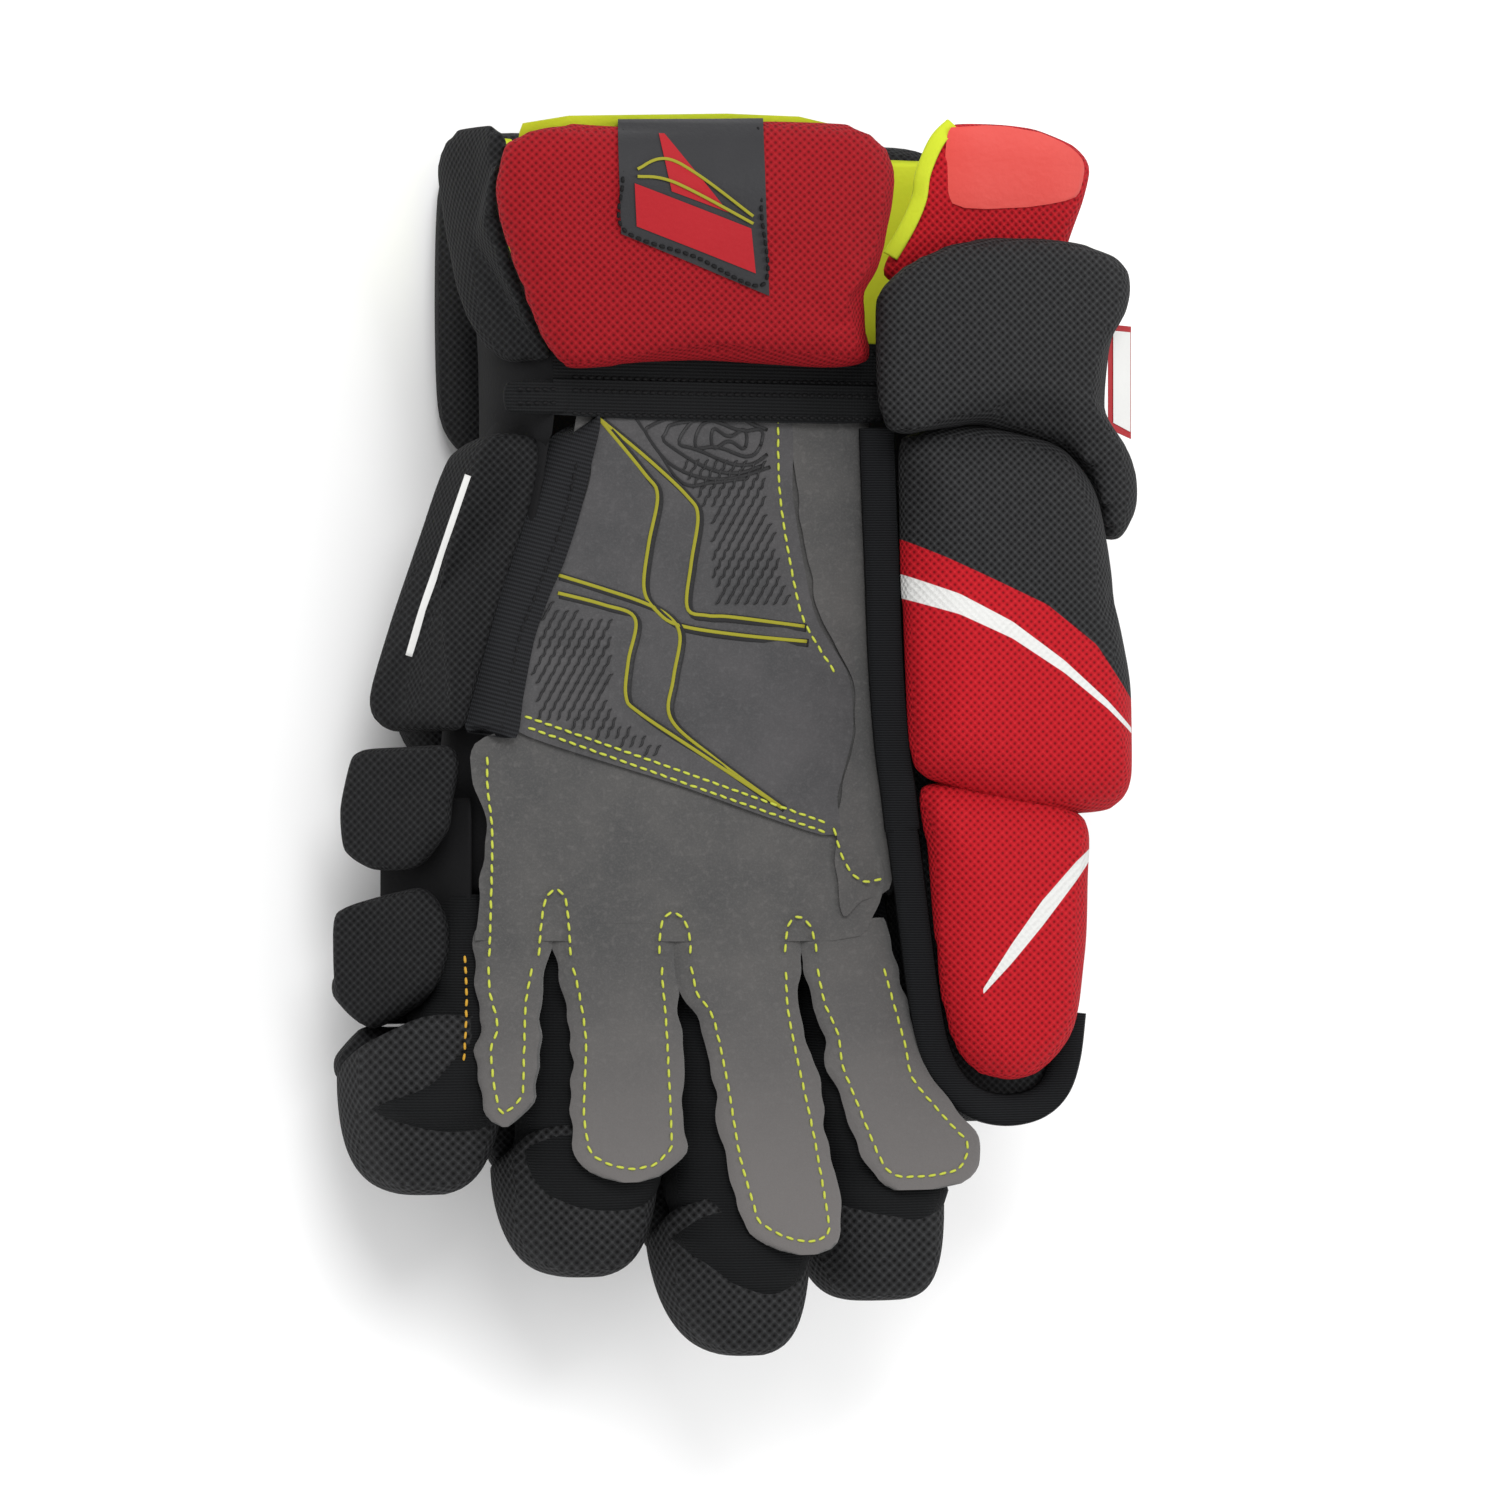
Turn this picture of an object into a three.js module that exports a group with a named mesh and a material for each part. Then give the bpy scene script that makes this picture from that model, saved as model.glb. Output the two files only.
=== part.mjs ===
// A left-hand ice hockey glove lying on its back, palm up.
// Millimetres. +X is the thumb side, +Y the cuff end, +Z the palm side. z = 0 is the table.
// Flat outlines are laid out on a plane that leans toward the little finger, as (u, y).
// on() turns them into x, y, z.
import * as THREE from "three";

const LEAN = THREE.MathUtils.degToRad(28);
// The outlines below are drawn for an 11 inch glove, and add() stretches them to these two overall sizes.
const GLOVE_LENGTH = 278.8;
const GLOVE_WIDTH = 196.9;
const DRAWN = { length: 278.8, width: 196.9 };
const STRETCH = new THREE.Vector3(GLOVE_WIDTH / DRAWN.width, GLOVE_LENGTH / DRAWN.length, 1);
const PALM_Z = 60; // height of the palm suede
const KNUCKLE_Y = -42; // the line that the four fingers bend on
const GAP = 0.4; // between layers
const ROLL_TOP = 24; // thickness of the back-of-hand rolls
const LINER = 1.8; // thickness of the inner cloth
const SUEDE = 1.6; // thickness of the palm suede
const CUFF_BACK_THICK = 16; // the pad under the wrist
const LINER_Z = ROLL_TOP + GAP;
const WALL_LOW = LINER_Z + LINER + 0.6; // the side walls stand over the liner
const WALL_HIGH = PALM_Z - SUEDE - 1.4; // and end under the palm suede
const REACH = WALL_HIGH - WALL_LOW; // the height of the hand inside
// A height in the side of the hand, from 0 at the liner to 1 under the palm.
const side = (share) => WALL_LOW + REACH * share;
// The middle of the finished glove, moved to the origin so that z = 0 is under its middle.
const CENTRE = new THREE.Vector3(9, -0.62, 0);
const root = new THREE.Group();

const xOf = (u, z) => (u - (z - PALM_Z) * Math.sin(LEAN)) / Math.cos(LEAN);
// An outline of [u, y] pairs, or [u, y, z] triples, as points in space.
function on(outline, z) {
  return outline.map(([u, y, own]) => {
    const height = own ?? (typeof z === "function" ? z(u, y) : z);
    return new THREE.Vector3(xOf(u, height), y, height);
  });
}
const points = (list) => list.map((p) => new THREE.Vector3(...p));

// A closed outline redrawn as a smooth curve with this many points.
function smooth(outline, count) {
  const curve = new THREE.CatmullRomCurve3(outline, true, "catmullrom", 0.3);
  return curve.getSpacedPoints(count).slice(0, count);
}

function volumeOf(vertices, faces) {
  let sum = 0;
  for (const [a, b, c] of faces) {
    sum += vertices[a].dot(new THREE.Vector3().crossVectors(vertices[b], vertices[c]));
  }
  return sum / 6;
}

// Adds a mesh whose faces all point outwards.
function add(name, vertices, faces, bend) {
  const placed = vertices.map((p) => (bend ? bend(p) : p).clone().sub(CENTRE).multiply(STRETCH));
  const outward = volumeOf(placed, faces) > 0;
  const index = faces.flatMap(([a, b, c]) => (outward ? [a, b, c] : [a, c, b]));
  const geometry = new THREE.BufferGeometry().setFromPoints(placed);
  geometry.setIndex(index);
  geometry.computeVertexNormals();
  const mesh = new THREE.Mesh(geometry, new THREE.MeshStandardMaterial());
  mesh.name = name;
  root.add(mesh);
}

// Rings of equal length joined one to the next, with a fan on each end.
function stack(name, rings, bend, closed = true) {
  const size = rings[0].length;
  const vertices = rings.flat();
  const faces = [];
  for (let r = 0; r + 1 < rings.length + (closed ? 0 : 1); r++) {
    const low = r * size;
    const high = ((r + 1) % rings.length) * size;
    for (let i = 0; i < size; i++) {
      const j = (i + 1) % size;
      faces.push([low + i, low + j, high + j], [low + i, high + j, high + i]);
    }
  }
  if (closed) {
    [0, rings.length - 1].forEach((r) => {
      const centre = new THREE.Vector3();
      rings[r].forEach((p) => centre.addScaledVector(p, 1 / size));
      vertices.push(centre);
      const hub = vertices.length - 1;
      for (let i = 0; i < size; i++) {
        const j = (i + 1) % size;
        const face = [r * size + j, r * size + i, hub];
        faces.push(r ? face.reverse() : face);
      }
    });
  }
  add(name, vertices, faces, bend);
}

// A padded piece: an outline filled from `below` under it to `above` over it, with rounded edges.
function cushion(name, outline, normal, below, above, { round = 3, count = 18, bend } = {}) {
  const n = new THREE.Vector3(...normal).normalize();
  const edge = smooth(outline, count);
  const centre = new THREE.Vector3();
  edge.forEach((p) => centre.addScaledVector(p, 1 / edge.length));
  const ring = (inset, height) =>
    edge.map((p) => {
      const inward = new THREE.Vector3().subVectors(centre, p);
      const share = Math.min(inset, inward.length() * 0.6);
      return p.clone().addScaledVector(inward.normalize(), share).addScaledVector(n, height);
    });
  stack(
    name,
    [
      ring(round * 0.7, -below),
      ring(0, -below + Math.min(round * 0.7, below * 0.6)),
      ring(0, above - Math.min(round * 1.2, above * 0.7)),
      ring(round * 0.4, above - Math.min(round * 0.4, above * 0.3)),
      ring(round * 1.4, above),
    ],
    bend,
  );
}

// A sheet: an outline of any shape made `thick` along its normal.
function sheet(name, outline, normal, thick, bend) {
  const n = new THREE.Vector3(...normal).normalize();
  const side = new THREE.Vector3(0, 1, 0).cross(n).normalize();
  const up = new THREE.Vector3().crossVectors(n, side);
  const flat = outline.map((p) => new THREE.Vector2(p.dot(side), p.dot(up)));
  const size = outline.length;
  const vertices = [...outline, ...outline.map((p) => p.clone().addScaledVector(n, thick))];
  const faces = [];
  const clockwise = THREE.ShapeUtils.isClockWise(flat);
  for (const [a, b, c] of THREE.ShapeUtils.triangulateShape(flat, [])) {
    faces.push([a, c, b], [a + size, b + size, c + size]);
  }
  for (let i = 0; i < size; i++) {
    const j = (i + 1) % size;
    const sides = [
      [i, j, j + size],
      [i, j + size, i + size],
    ];
    faces.push(...(clockwise ? sides.map((f) => f.reverse()) : sides));
  }
  add(name, vertices, faces, bend);
}

// A rectangle with cut corners.
function eased(x0, x1, y0, y1, z, cut = 5) {
  return points([
    [x0 + cut, y0, z], [(x0 + x1) / 2, y0, z], [x1 - cut, y0, z], [x1, y0 + cut, z],
    [x1, (y0 + y1) / 2, z], [x1, y1 - cut, z], [x1 - cut, y1, z], [(x0 + x1) / 2, y1, z],
    [x0 + cut, y1, z], [x0, y1 - cut, z], [x0, (y0 + y1) / 2, z], [x0, y0 + cut, z],
  ]);
}

const UP = [0, 0, 1];
const DOWN = [0, 0, -1];

// ---- hand: the layers of the palm, from the stall side up ----
const PALM_TOP = [[-30, 73.5], [9, 73.5], [11, 52], [14, 32], [18, 14], [27, -2], [30, -24]];
sheet("palm_panel", on([...PALM_TOP, [35, KNUCKLE_Y + GAP], [-57.5, KNUCKLE_Y + GAP], [-56, -25],
  [-58, -2], [-48.5, 0], [-44, 22], [-38, 38], [-32, 58]], PALM_Z - SUEDE), UP, SUEDE);
sheet("palm_overlay", on([[-29, 70.5], [9, 70.5], [10, 53], [13, 32], [16, 24], [22, 13], [20, -22],
  [-48, 2], [-46, 12], [-40, 34], [-33, 55]], PALM_Z + GAP), UP, 1.2);
sheet("thumb_side_palm", on([[12, 70.5], [24, 70.5], [25, 40], [26.5, 10], [29.5, -8], [31, -33], [25, -33],
  [25, -5], [24.5, 13], [18.5, 26], [15.5, 33], [12.8, 53]], PALM_Z + GAP), UP, 1.3);
const STRAP = [[-42, 65], [-50, 43], [-56, 23], [-60, 1], [-49, -1], [-45, 21], [-39, 36], [-33, 58], [-31, 69]];
sheet("palm_strap", on(STRAP, PALM_Z + 2), UP, 1.2);

// ---- wrist ----
sheet("wrist_band_upper", on([[-38, 78.6], [33, 78.6], [33, 84], [-38, 84]], PALM_Z + 0.3), UP, 1.6);
sheet("wrist_band_lower", on([[-36, 71.2], [33, 71.2], [33, 78.2], [-36, 78.2]], PALM_Z + 3.6), UP, 1.6);
cushion("wrist_tab", on([[-51, 71.5], [-38.5, 72], [-38.5, 80], [-50, 80]], PALM_Z + 2), UP, 1, 3,
  { round: 1, count: 12 });

// ---- outer edge of the hand ----
const OUT = [-0.94, 0, 0.34];
sheet("ulnar_wall", points([[-62, -40, WALL_HIGH], [-60, 10, WALL_HIGH], [-47, 56, WALL_HIGH],
  [-44, 79, WALL_HIGH], [-44, 79, WALL_LOW], [-47, 56, WALL_LOW], [-60, 10, WALL_LOW], [-62, -40, WALL_LOW]]),
[-1, 0, 0], LINER);
cushion("ulnar_panel", points([[-52, 61, side(1.07)], [-57, 40, side(1.07)], [-63, 22, side(1.03)],
  [-68, 4, side(1)], [-74, 3, side(0.43)], [-78, 5, side(-0.03)], [-74, 24, side(-0.06)], [-68, 42, side(-0.06)],
  [-60, 58, side(0)], [-57, 63, side(0.5)]]), OUT, 2.5, 5, { round: 3 });
cushion("little_side_pad_upper", on([[-87, -6, side(-0.03)], [-84, -4, side(0.13)], [-64, -4, side(0.93)],
  [-63, -8, side(1)], [-64.5, -18, side(1)], [-66, -24, side(0.93)], [-72, -31, side(0.63)],
  [-82, -33, side(0.23)], [-87, -29, side(-0.03)], [-88, -17, side(-0.06)]]), OUT, 2.5, 4, { round: 2.5 });

// ---- back of the hand: three rolls with flat undersides, and the liner over them ----
const HALF_ROLL = ROLL_TOP / 2;
const BACK_ROLLS = [
  { name: "knuckle", left: -62, right: 46, low: KNUCKLE_Y + 4, high: -9.5 },
  { name: "middle", left: -60, right: 80, low: -6.5, high: 24.5 },
  { name: "wrist", left: -50, right: 84, low: 27, high: 58.5 },
];
for (const r of BACK_ROLLS) {
  const outline = eased(r.left, r.right, r.low, r.high, HALF_ROLL, 6);
  cushion(`backhand_roll_${r.name}`, outline, DOWN, HALF_ROLL, HALF_ROLL, { round: 5, count: 36 });
}
sheet("hand_liner", points([[-60, -38, LINER_Z], [44, -38, LINER_Z], [44, -6, LINER_Z], [82, -6, LINER_Z],
  [82, 58, LINER_Z], [-44, 58, LINER_Z], [-56, 20, LINER_Z]]), UP, LINER);
// A flat wall of cloth at one x, between two y and two z.
function standing(name, x, [y0, y1], [z0, z1], thick) {
  sheet(name, points([[x, y0, z0], [x, y1, z0], [x, y1, z1], [x, y0, z1]]), [1, 0, 0], thick);
}
standing("web_gusset", 44.6, [-38, -14], [WALL_LOW, WALL_HIGH], 1.4);
standing("radial_wall", 86.5, [-12, 58], [WALL_LOW, WALL_HIGH], LINER);

// ---- cuff ----
const CUFF_BACK = 61.5;
const CUFF_MID = CUFF_BACK_THICK / 2;
cushion("cuff_back_pad", points([[-46, CUFF_BACK, CUFF_MID], [20, CUFF_BACK, CUFF_MID], [80, CUFF_BACK, CUFF_MID],
  [86, 70, CUFF_MID], [86, 128, CUFF_MID], [80, 135, CUFF_MID], [20, 137, CUFF_MID], [-44, 134, CUFF_MID],
  [-50, 126, CUFF_MID], [-48, 90, CUFF_MID]]), DOWN, CUFF_MID, CUFF_MID, { round: 4, count: 30 });
standing("cuff_radial_wall", 84, [64, 128], [CUFF_BACK_THICK + 1, PALM_Z - 17], LINER);
const flare = (u, y) => PALM_Z + 6 + (y - 84) * 0.3;
const FLARE_UP = [0, -0.29, 0.957];
const RED_PAD = [[-51, 129], [-42, 133], [-26, 133.6], [6, 135], [24, 135], [30, 132.5], [33.5, 128], [34, 121],
  [32, 107], [28.5, 98], [29, 86], [18, 85.5], [-9, 86], [-25, 85.5], [-39, 84.5], [-44.5, 90], [-51.5, 110],
  [-53, 120]];
cushion("cuff_palm_pad", on(RED_PAD, flare), FLARE_UP, 1, 8.5, { round: 3, count: 26 });
sheet("cuff_palm_lining", on([[-46, 132], [-30, 134], [6, 135.6], [22, 135], [27, 108], [24, 88], [-36, 87],
  [-43, 100], [-48, 122]], (u, y) => flare(u, y) - 3), FLARE_UP, 1.2);
const LABEL = [[-26, 130], [5, 131.5], [6.5, 97], [-25.5, 107]];
sheet("cuff_label", on(LABEL, (u, y) => flare(u, y) + 9.5), FLARE_UP, 1.2);
cushion("cuff_ulnar_pad", on([[-67, 126, side(0.23)], [-65, 131, side(0.57)], [-60, 134, side(0.97)],
  [-56.5, 134, side(1.3)], [-56, 127, side(1.43)], [-49.5, 96, side(1.2)], [-46, 84, side(1.03)],
  [-52, 83, side(0.63)], [-57, 87, side(0.3)], [-61, 96, side(0.17)], [-64.5, 108, side(0.13)]]),
[-0.97, 0.1, 0.2], 2, 4, { round: 2.5 });
const slope = (u) => PALM_Z + 14.5 - (u - 29) * 0.25;
const ROLL_UP = [0.22, 0, 0.97];
cushion("cuff_roll", on([[33, 98], [35, 104], [48, 111], [64, 113], [76, 113], [87, 109], [90, 102], [85.5, 93],
  [85, 74], [90, 63], [91, 52], [84, 44], [80, 57], [71, 65], [54, 70], [38, 68.5], [34, 75], [32.5, 88]], slope),
ROLL_UP, 4, 9, { round: 4, count: 30 });
sheet("cuff_roll_tag", on([[86, 92], [92, 91], [92.5, 70], [86, 74]], (u) => slope(u) - 2), ROLL_UP, 1.2);
const flap = (u, y) => PALM_Z - 0.5 - 0.25 * (u - 33) + 0.3 * (y - 105);
const FLAP_UP = [0.22, -0.28, 0.93];
const FLAP_LOW = 103;
cushion("cuff_flap", on([[41, FLAP_LOW], [44, 122], [47, 134], [52, 138], [60, 138.6], [68, 138], [76, 135],
  [79.5, 131], [79, 123], [76, 112], [74, FLAP_LOW]], flap), FLAP_UP, 2, 4, { round: 2, count: 20 });
sheet("cuff_flap_patch", on([[50, 135], [60, 136], [68, 135], [76, 131], [77, 123], [49, 121.5]],
  (u, y) => flap(u, y) + 5.2), FLAP_UP, 1);
sheet("cuff_flap_lining", on([[38, FLAP_LOW + 1], [41, 119], [45, 136], [70, 135], [70, FLAP_LOW + 1]],
  (u, y) => flap(u, y) - 4.2), FLAP_UP, 1.2);

// ---- fingers: each is built straight and then curls up toward the palm side ----
const FINGERS = [
  { name: "index", left: 20.2, right: 46.5, tip: -129, strip: -104, rise: 12, flare: 8 },
  { name: "middle", left: -14.4, right: 19.5, tip: -140, strip: -117, rise: 12, flare: 0 },
  { name: "ring", left: -50, right: -15.1, tip: -122, strip: -100, rise: 9, flare: 0 },
  { name: "little", left: -86, right: -50.7, tip: -103, strip: -87, rise: 6, flare: 0 },
];
const STALL_TOP = PALM_Z - 2;
const STALL_DEPTH = 23; // outside, from the strip down to the back rolls
const STALL_LOW = STALL_TOP - STALL_DEPTH;
const FINGER_ROLL = 17; // thickness of the finger rolls
const ROLL_LOW = STALL_LOW - FINGER_ROLL;
const WALL = 1.8;
const CAP_LENGTH = 16;
const SLEEVE_START = KNUCKLE_Y - 4.5;

// The ring of a rounded rectangle across a finger, at one y.
function ovalRing(x0, x1, z0, z1, y, count = 16, power = 0.45) {
  const ring = [];
  for (let i = 0; i < count; i++) {
    const a = (i / count) * Math.PI * 2;
    const c = Math.cos(a);
    const s = Math.sin(a);
    ring.push(new THREE.Vector3(
      (x0 + x1) / 2 + ((x1 - x0) / 2) * Math.sign(c) * Math.abs(c) ** power,
      y,
      (z0 + z1) / 2 + ((z1 - z0) / 2) * Math.sign(s) * Math.abs(s) ** power,
    ));
  }
  return ring;
}

// A tube with open ends, walls `wall` thick.
function tube(name, x0, x1, z0, z1, ys, wall, bend) {
  const outer = ys.map((y) => ovalRing(x0, x1, z0, z1, y));
  const inner = ys.map((y) => ovalRing(x0 + wall, x1 - wall, z0 + wall, z1 - wall, y));
  stack(name, [...outer, ...inner.reverse()], bend, false);
}
const steps = (from, to, count) => Array.from({ length: count + 1 }, (_, i) => from + ((to - from) * i) / count);

for (const f of FINGERS) {
  const width = f.right - f.left;
  const capStart = f.tip + CAP_LENGTH;
  const widen = (y) => f.flare * THREE.MathUtils.clamp((-86 - y) / 12, 0, 1);
  const bend = (p) => {
    const reach = Math.max(0, KNUCKLE_Y - p.y) / 70;
    const side = (p.x - f.left) / width;
    return new THREE.Vector3(p.x + side * widen(p.y), p.y, p.z + f.rise * reach * reach);
  };
  const along = steps(SLEEVE_START, capStart + GAP, 7);
  tube(`${f.name}_sleeve`, f.left + 0.3, f.right - 0.3, STALL_LOW, STALL_TOP, along, WALL, bend);
  const stripX = (y) => {
    const near = THREE.MathUtils.clamp((y - f.strip) / 14, 0, 1);
    const ease = 1 - Math.sqrt(1 - (1 - near) ** 2);
    const little = f.name === "little" ? 16 : 1.5;
    return [f.left + little + ease * 9, f.right - 1.5 - ease * 9];
  };
  const rings = steps(KNUCKLE_Y - GAP, f.strip, 7).map((y) => {
    const [x0, x1] = stripX(y);
    return points([[x0, y, PALM_Z - 1.4], [x1, y, PALM_Z - 1.4], [x1, y, PALM_Z], [x0, y, PALM_Z]]);
  });
  stack(`${f.name}_palm`, rings, bend);

  const rollStart = KNUCKLE_Y - 8;
  const rollEnd = capStart + 1;
  const half = (rollStart + rollEnd) / 2;
  const rollZ = (ROLL_LOW + STALL_LOW) / 2;
  const rollHalf = FINGER_ROLL / 2;
  [[half + 0.6, rollStart], [rollEnd, half - 0.6]].forEach(([y0, y1], i) => {
    cushion(`${f.name}_back_roll_${i + 1}`, eased(f.left + 0.5, f.right - 0.5, y0, y1, rollZ - 0.3, 4), DOWN,
      rollHalf - 0.6, rollHalf - 0.5, { round: 4, bend });
  });
  const nose = [[0, 1], [4, 0.98], [8, 0.92], [12, 0.78], [15, 0.5], [16, 0.28]];
  const capRings = nose.map(([forward, share]) => {
    const middleX = (f.left + f.right) / 2;
    const halfX = (width / 2 - 0.4) * share;
    const middleZ = (ROLL_LOW + STALL_TOP + 1) / 2;
    const halfZ = ((STALL_TOP + 1 - ROLL_LOW) / 2) * share;
    const [low, high] = [middleZ - halfZ, middleZ + halfZ];
    return ovalRing(middleX - halfX, middleX + halfX, low, high, capStart - forward, 16, 0.6);
  });
  stack(`${f.name}_tip_cap`, capRings, bend);
}
const PAD_X = FINGERS.find((f) => f.name === "little").left - 0.6;
cushion("little_side_pad_lower", points([[PAD_X, -50, STALL_LOW - 2], [PAD_X, -50, STALL_TOP - 6],
  [PAD_X, -56, STALL_TOP - 1], [PAD_X, -70, STALL_TOP - 2], [PAD_X, -80, STALL_TOP - 8],
  [PAD_X, -82, STALL_LOW + 3], [PAD_X, -74, STALL_LOW - 5], [PAD_X, -58, STALL_LOW - 5]]),
[-1, 0, 0.1], 0, 3.5, { round: 1.5 });

// ---- thumb ----
const thumbZ = (u) => PALM_Z + 6 - (u - 40) * 0.05;
cushion("thumb_roll", on([[36, 64], [36, 35], [38, 3.5], [40, -8], [46, -12], [55, -15], [64, -17.5], [74, -18],
  [84, -17.5], [88.5, -12], [89, 8], [87.5, 18], [84, 32], [80, 44], [72, 58], [54, 63]], thumbZ), UP, 2, 16,
{ round: 6, count: 28 });
sheet("thumb_binding_hand", on([[29, 66], [29.5, 38], [31, 17], [32.8, -2], [34.5, -14], [37.5, -14], [35.5, 3],
  [33.8, 30], [33.5, 66]], PALM_Z + 0.3), UP, 2);
const HALF_PAD_Z = PALM_Z + 5;
cushion("thumb_lower_pad", on([[44.5, -22], [60, -22], [76, -23], [79, -30], [79, -47], [77, -62], [71, -74],
  [65, -78], [55, -77], [50, -73], [46.5, -56], [44.5, -40]], HALF_PAD_Z), UP, 2, 11, { round: 4, count: 22 });
const THUMB_TOP = PALM_Z + 1.5;
const THUMB_LOW = THUMB_TOP - 27.5;
const LOCK_Z = THUMB_TOP + GAP;
const LOCK_THICK = 0.7;
sheet("thumb_lock", points([[54, -30, LOCK_Z], [80, -30, LOCK_Z], [80, -62, LOCK_Z], [74, -70, LOCK_Z],
  [60, -70, LOCK_Z], [54, -62, LOCK_Z]]), UP, LOCK_THICK);
sheet("thumb_binding_tip", on([[42.2, -22], [42.2, -60], [43, -70], [46, -80], [51, -86], [60, -89], [68, -88],
  [74, -83], [78, -74], [73, -76.5], [66, -80.5], [58, -80.5], [51, -77.5], [47, -70], [45.5, -58], [44, -40], [43.5, -22]],
PALM_Z + 2), UP, 0.9);
const THUMB_LEFT = 49.6;
const THUMB_RIGHT = 85;
tube("thumb_sleeve", THUMB_LEFT, THUMB_RIGHT, THUMB_LOW, THUMB_TOP, steps(-24, -74, 3), WALL);
const GRIP_X = THUMB_LEFT - SUEDE - 0.5;
sheet("thumb_grip", points([[GRIP_X, -20, THUMB_LOW + 3], [GRIP_X, -20, THUMB_TOP - 2.5],
  [GRIP_X, -70, THUMB_TOP - 2.5], [GRIP_X, -78, THUMB_TOP - 5.5], [GRIP_X, -78, THUMB_LOW + 8],
  [GRIP_X, -70, THUMB_LOW + 3]]), [1, 0, 0], SUEDE);
const THUMB_MID = (THUMB_TOP + THUMB_LOW) / 2;
const THUMB_HALF = (THUMB_TOP - THUMB_LOW) / 2 - 0.15;
const THUMB_X = (THUMB_LEFT + THUMB_RIGHT) / 2;
const THUMB_WIDE = (THUMB_RIGHT - THUMB_LEFT) / 2 - 0.1;
const THUMB_NOSE = [[0, 1], [5, 0.93], [9, 0.72], [11.5, 0.4]];
stack("thumb_tip_cap", THUMB_NOSE.map(([forward, share]) =>
  ovalRing(THUMB_X - THUMB_WIDE * share, THUMB_X + THUMB_WIDE * share, THUMB_MID - THUMB_HALF * share,
    THUMB_MID + THUMB_HALF * share, -74.5 - forward, 16, 0.6)));

export default root;
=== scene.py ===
"""An ice hockey glove lying palm up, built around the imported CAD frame.

Lengths are in millimetres until a point is placed. A point is given as (u, y, z): u runs across the glove on
a plane that leans toward the little finger by LEAN, as the camera does, and z is the height above the floor.
"""

import math
import random

import bmesh
import bpy
from mathutils import Matrix, Vector, noise
from mathutils.bvhtree import BVHTree


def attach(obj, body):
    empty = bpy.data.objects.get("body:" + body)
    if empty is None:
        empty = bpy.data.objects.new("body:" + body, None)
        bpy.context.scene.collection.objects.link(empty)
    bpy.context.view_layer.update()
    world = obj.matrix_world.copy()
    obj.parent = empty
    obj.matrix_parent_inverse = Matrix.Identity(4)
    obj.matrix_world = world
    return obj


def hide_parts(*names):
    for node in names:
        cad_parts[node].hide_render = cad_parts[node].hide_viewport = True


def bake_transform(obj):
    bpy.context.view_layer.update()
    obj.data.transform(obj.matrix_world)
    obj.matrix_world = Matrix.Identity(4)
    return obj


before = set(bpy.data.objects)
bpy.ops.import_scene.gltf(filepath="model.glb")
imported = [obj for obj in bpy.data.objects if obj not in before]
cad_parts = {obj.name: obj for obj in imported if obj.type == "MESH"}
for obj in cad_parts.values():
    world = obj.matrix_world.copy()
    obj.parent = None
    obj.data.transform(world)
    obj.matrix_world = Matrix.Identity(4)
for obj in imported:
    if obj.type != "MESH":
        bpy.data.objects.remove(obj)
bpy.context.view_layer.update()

LEAN = math.radians(28)
PALM = 60.0  # height of the palm suede
KNUCKLE = -42.0  # the line that the fingers bend on
CENTRE = (9.0, -0.62)  # what the CAD model was moved by to sit on its origin
SHARP = math.radians(50)  # a sheet's edge sharper than this stays crisp
RANDOM = random.Random(7)


# ---------------------------------------------------------------- points and curves
def nat(x, y, z):
    """A point of the glove's own frame, in the row frame's metres."""
    return Vector(((x - CENTRE[0]) / 1000, (y - CENTRE[1]) / 1000, z / 1000))


def at(u, y, z):
    return nat((u - (z - PALM) * math.sin(LEAN)) / math.cos(LEAN), y, z)


def spline(windows, tension, steps):
    """Points on a smooth line through the middle two points of each window of four."""
    fine = []
    for window in windows:
        for step in range(steps):
            fine.append(tuple(hermite(b, c, (c - a) * tension, (d - b) * tension, step / steps)
                for a, b, c, d in zip(*window)))
    return fine


def smooth_closed(points, count):
    """A closed outline redrawn as a smooth curve of evenly spaced points."""
    size = len(points)
    windows = [[points[(i + k) % size] for k in (-1, 0, 1, 2)] for i in range(size)]
    return resample(spline(windows, 0.35, 12), count, True)


def hermite(a, b, ta, tb, t):
    t2, t3 = t * t, t * t * t
    return (2 * t3 - 3 * t2 + 1) * a + (t3 - 2 * t2 + t) * ta + (3 * t2 - 2 * t3) * b + (t3 - t2) * tb


def resample(points, count, closed=False):
    """The same line as evenly spaced points."""
    line = list(points) + ([points[0]] if closed else [])
    lengths = [0.0]
    for a, b in zip(line, line[1:]):
        lengths.append(lengths[-1] + math.dist(a, b))
    out = []
    spans = count if closed else count - 1
    k = 0
    for i in range(count):
        want = lengths[-1] * i / spans
        while k < len(line) - 2 and lengths[k + 1] < want:
            k += 1
        share = (want - lengths[k]) / max(lengths[k + 1] - lengths[k], 1e-9)
        out.append(tuple(a + (b - a) * share for a, b in zip(line[k], line[k + 1])))
    return out


def smooth_open(points, count):
    """A line redrawn as a smooth curve of evenly spaced points."""
    ends = [points[0], *points, points[-1]]
    return resample(spline(zip(ends, ends[1:], ends[2:], ends[3:]), 0.5, 10) + [points[-1]], count)


def clamp(v, low=0.0, high=1.0):
    return max(low, min(high, v))


def over(surface, lift):
    """The surface height(u, y), lifted."""
    return lambda u, y: surface(u, y) + lift


def laid(line, surface):
    """Points (u, y) as (u, y, z) on a surface."""
    return [(u, y, surface(u, y)) for u, y in line]


def rumple(p, size, scale, seed=0.0):
    """A soft random height at a point in metres: size in millimetres, scale in bumps per 100 mm."""
    return size * noise.noise(Vector((p.x * 10 * scale + seed, p.y * 10 * scale, p.z * 10 * scale)))


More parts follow.
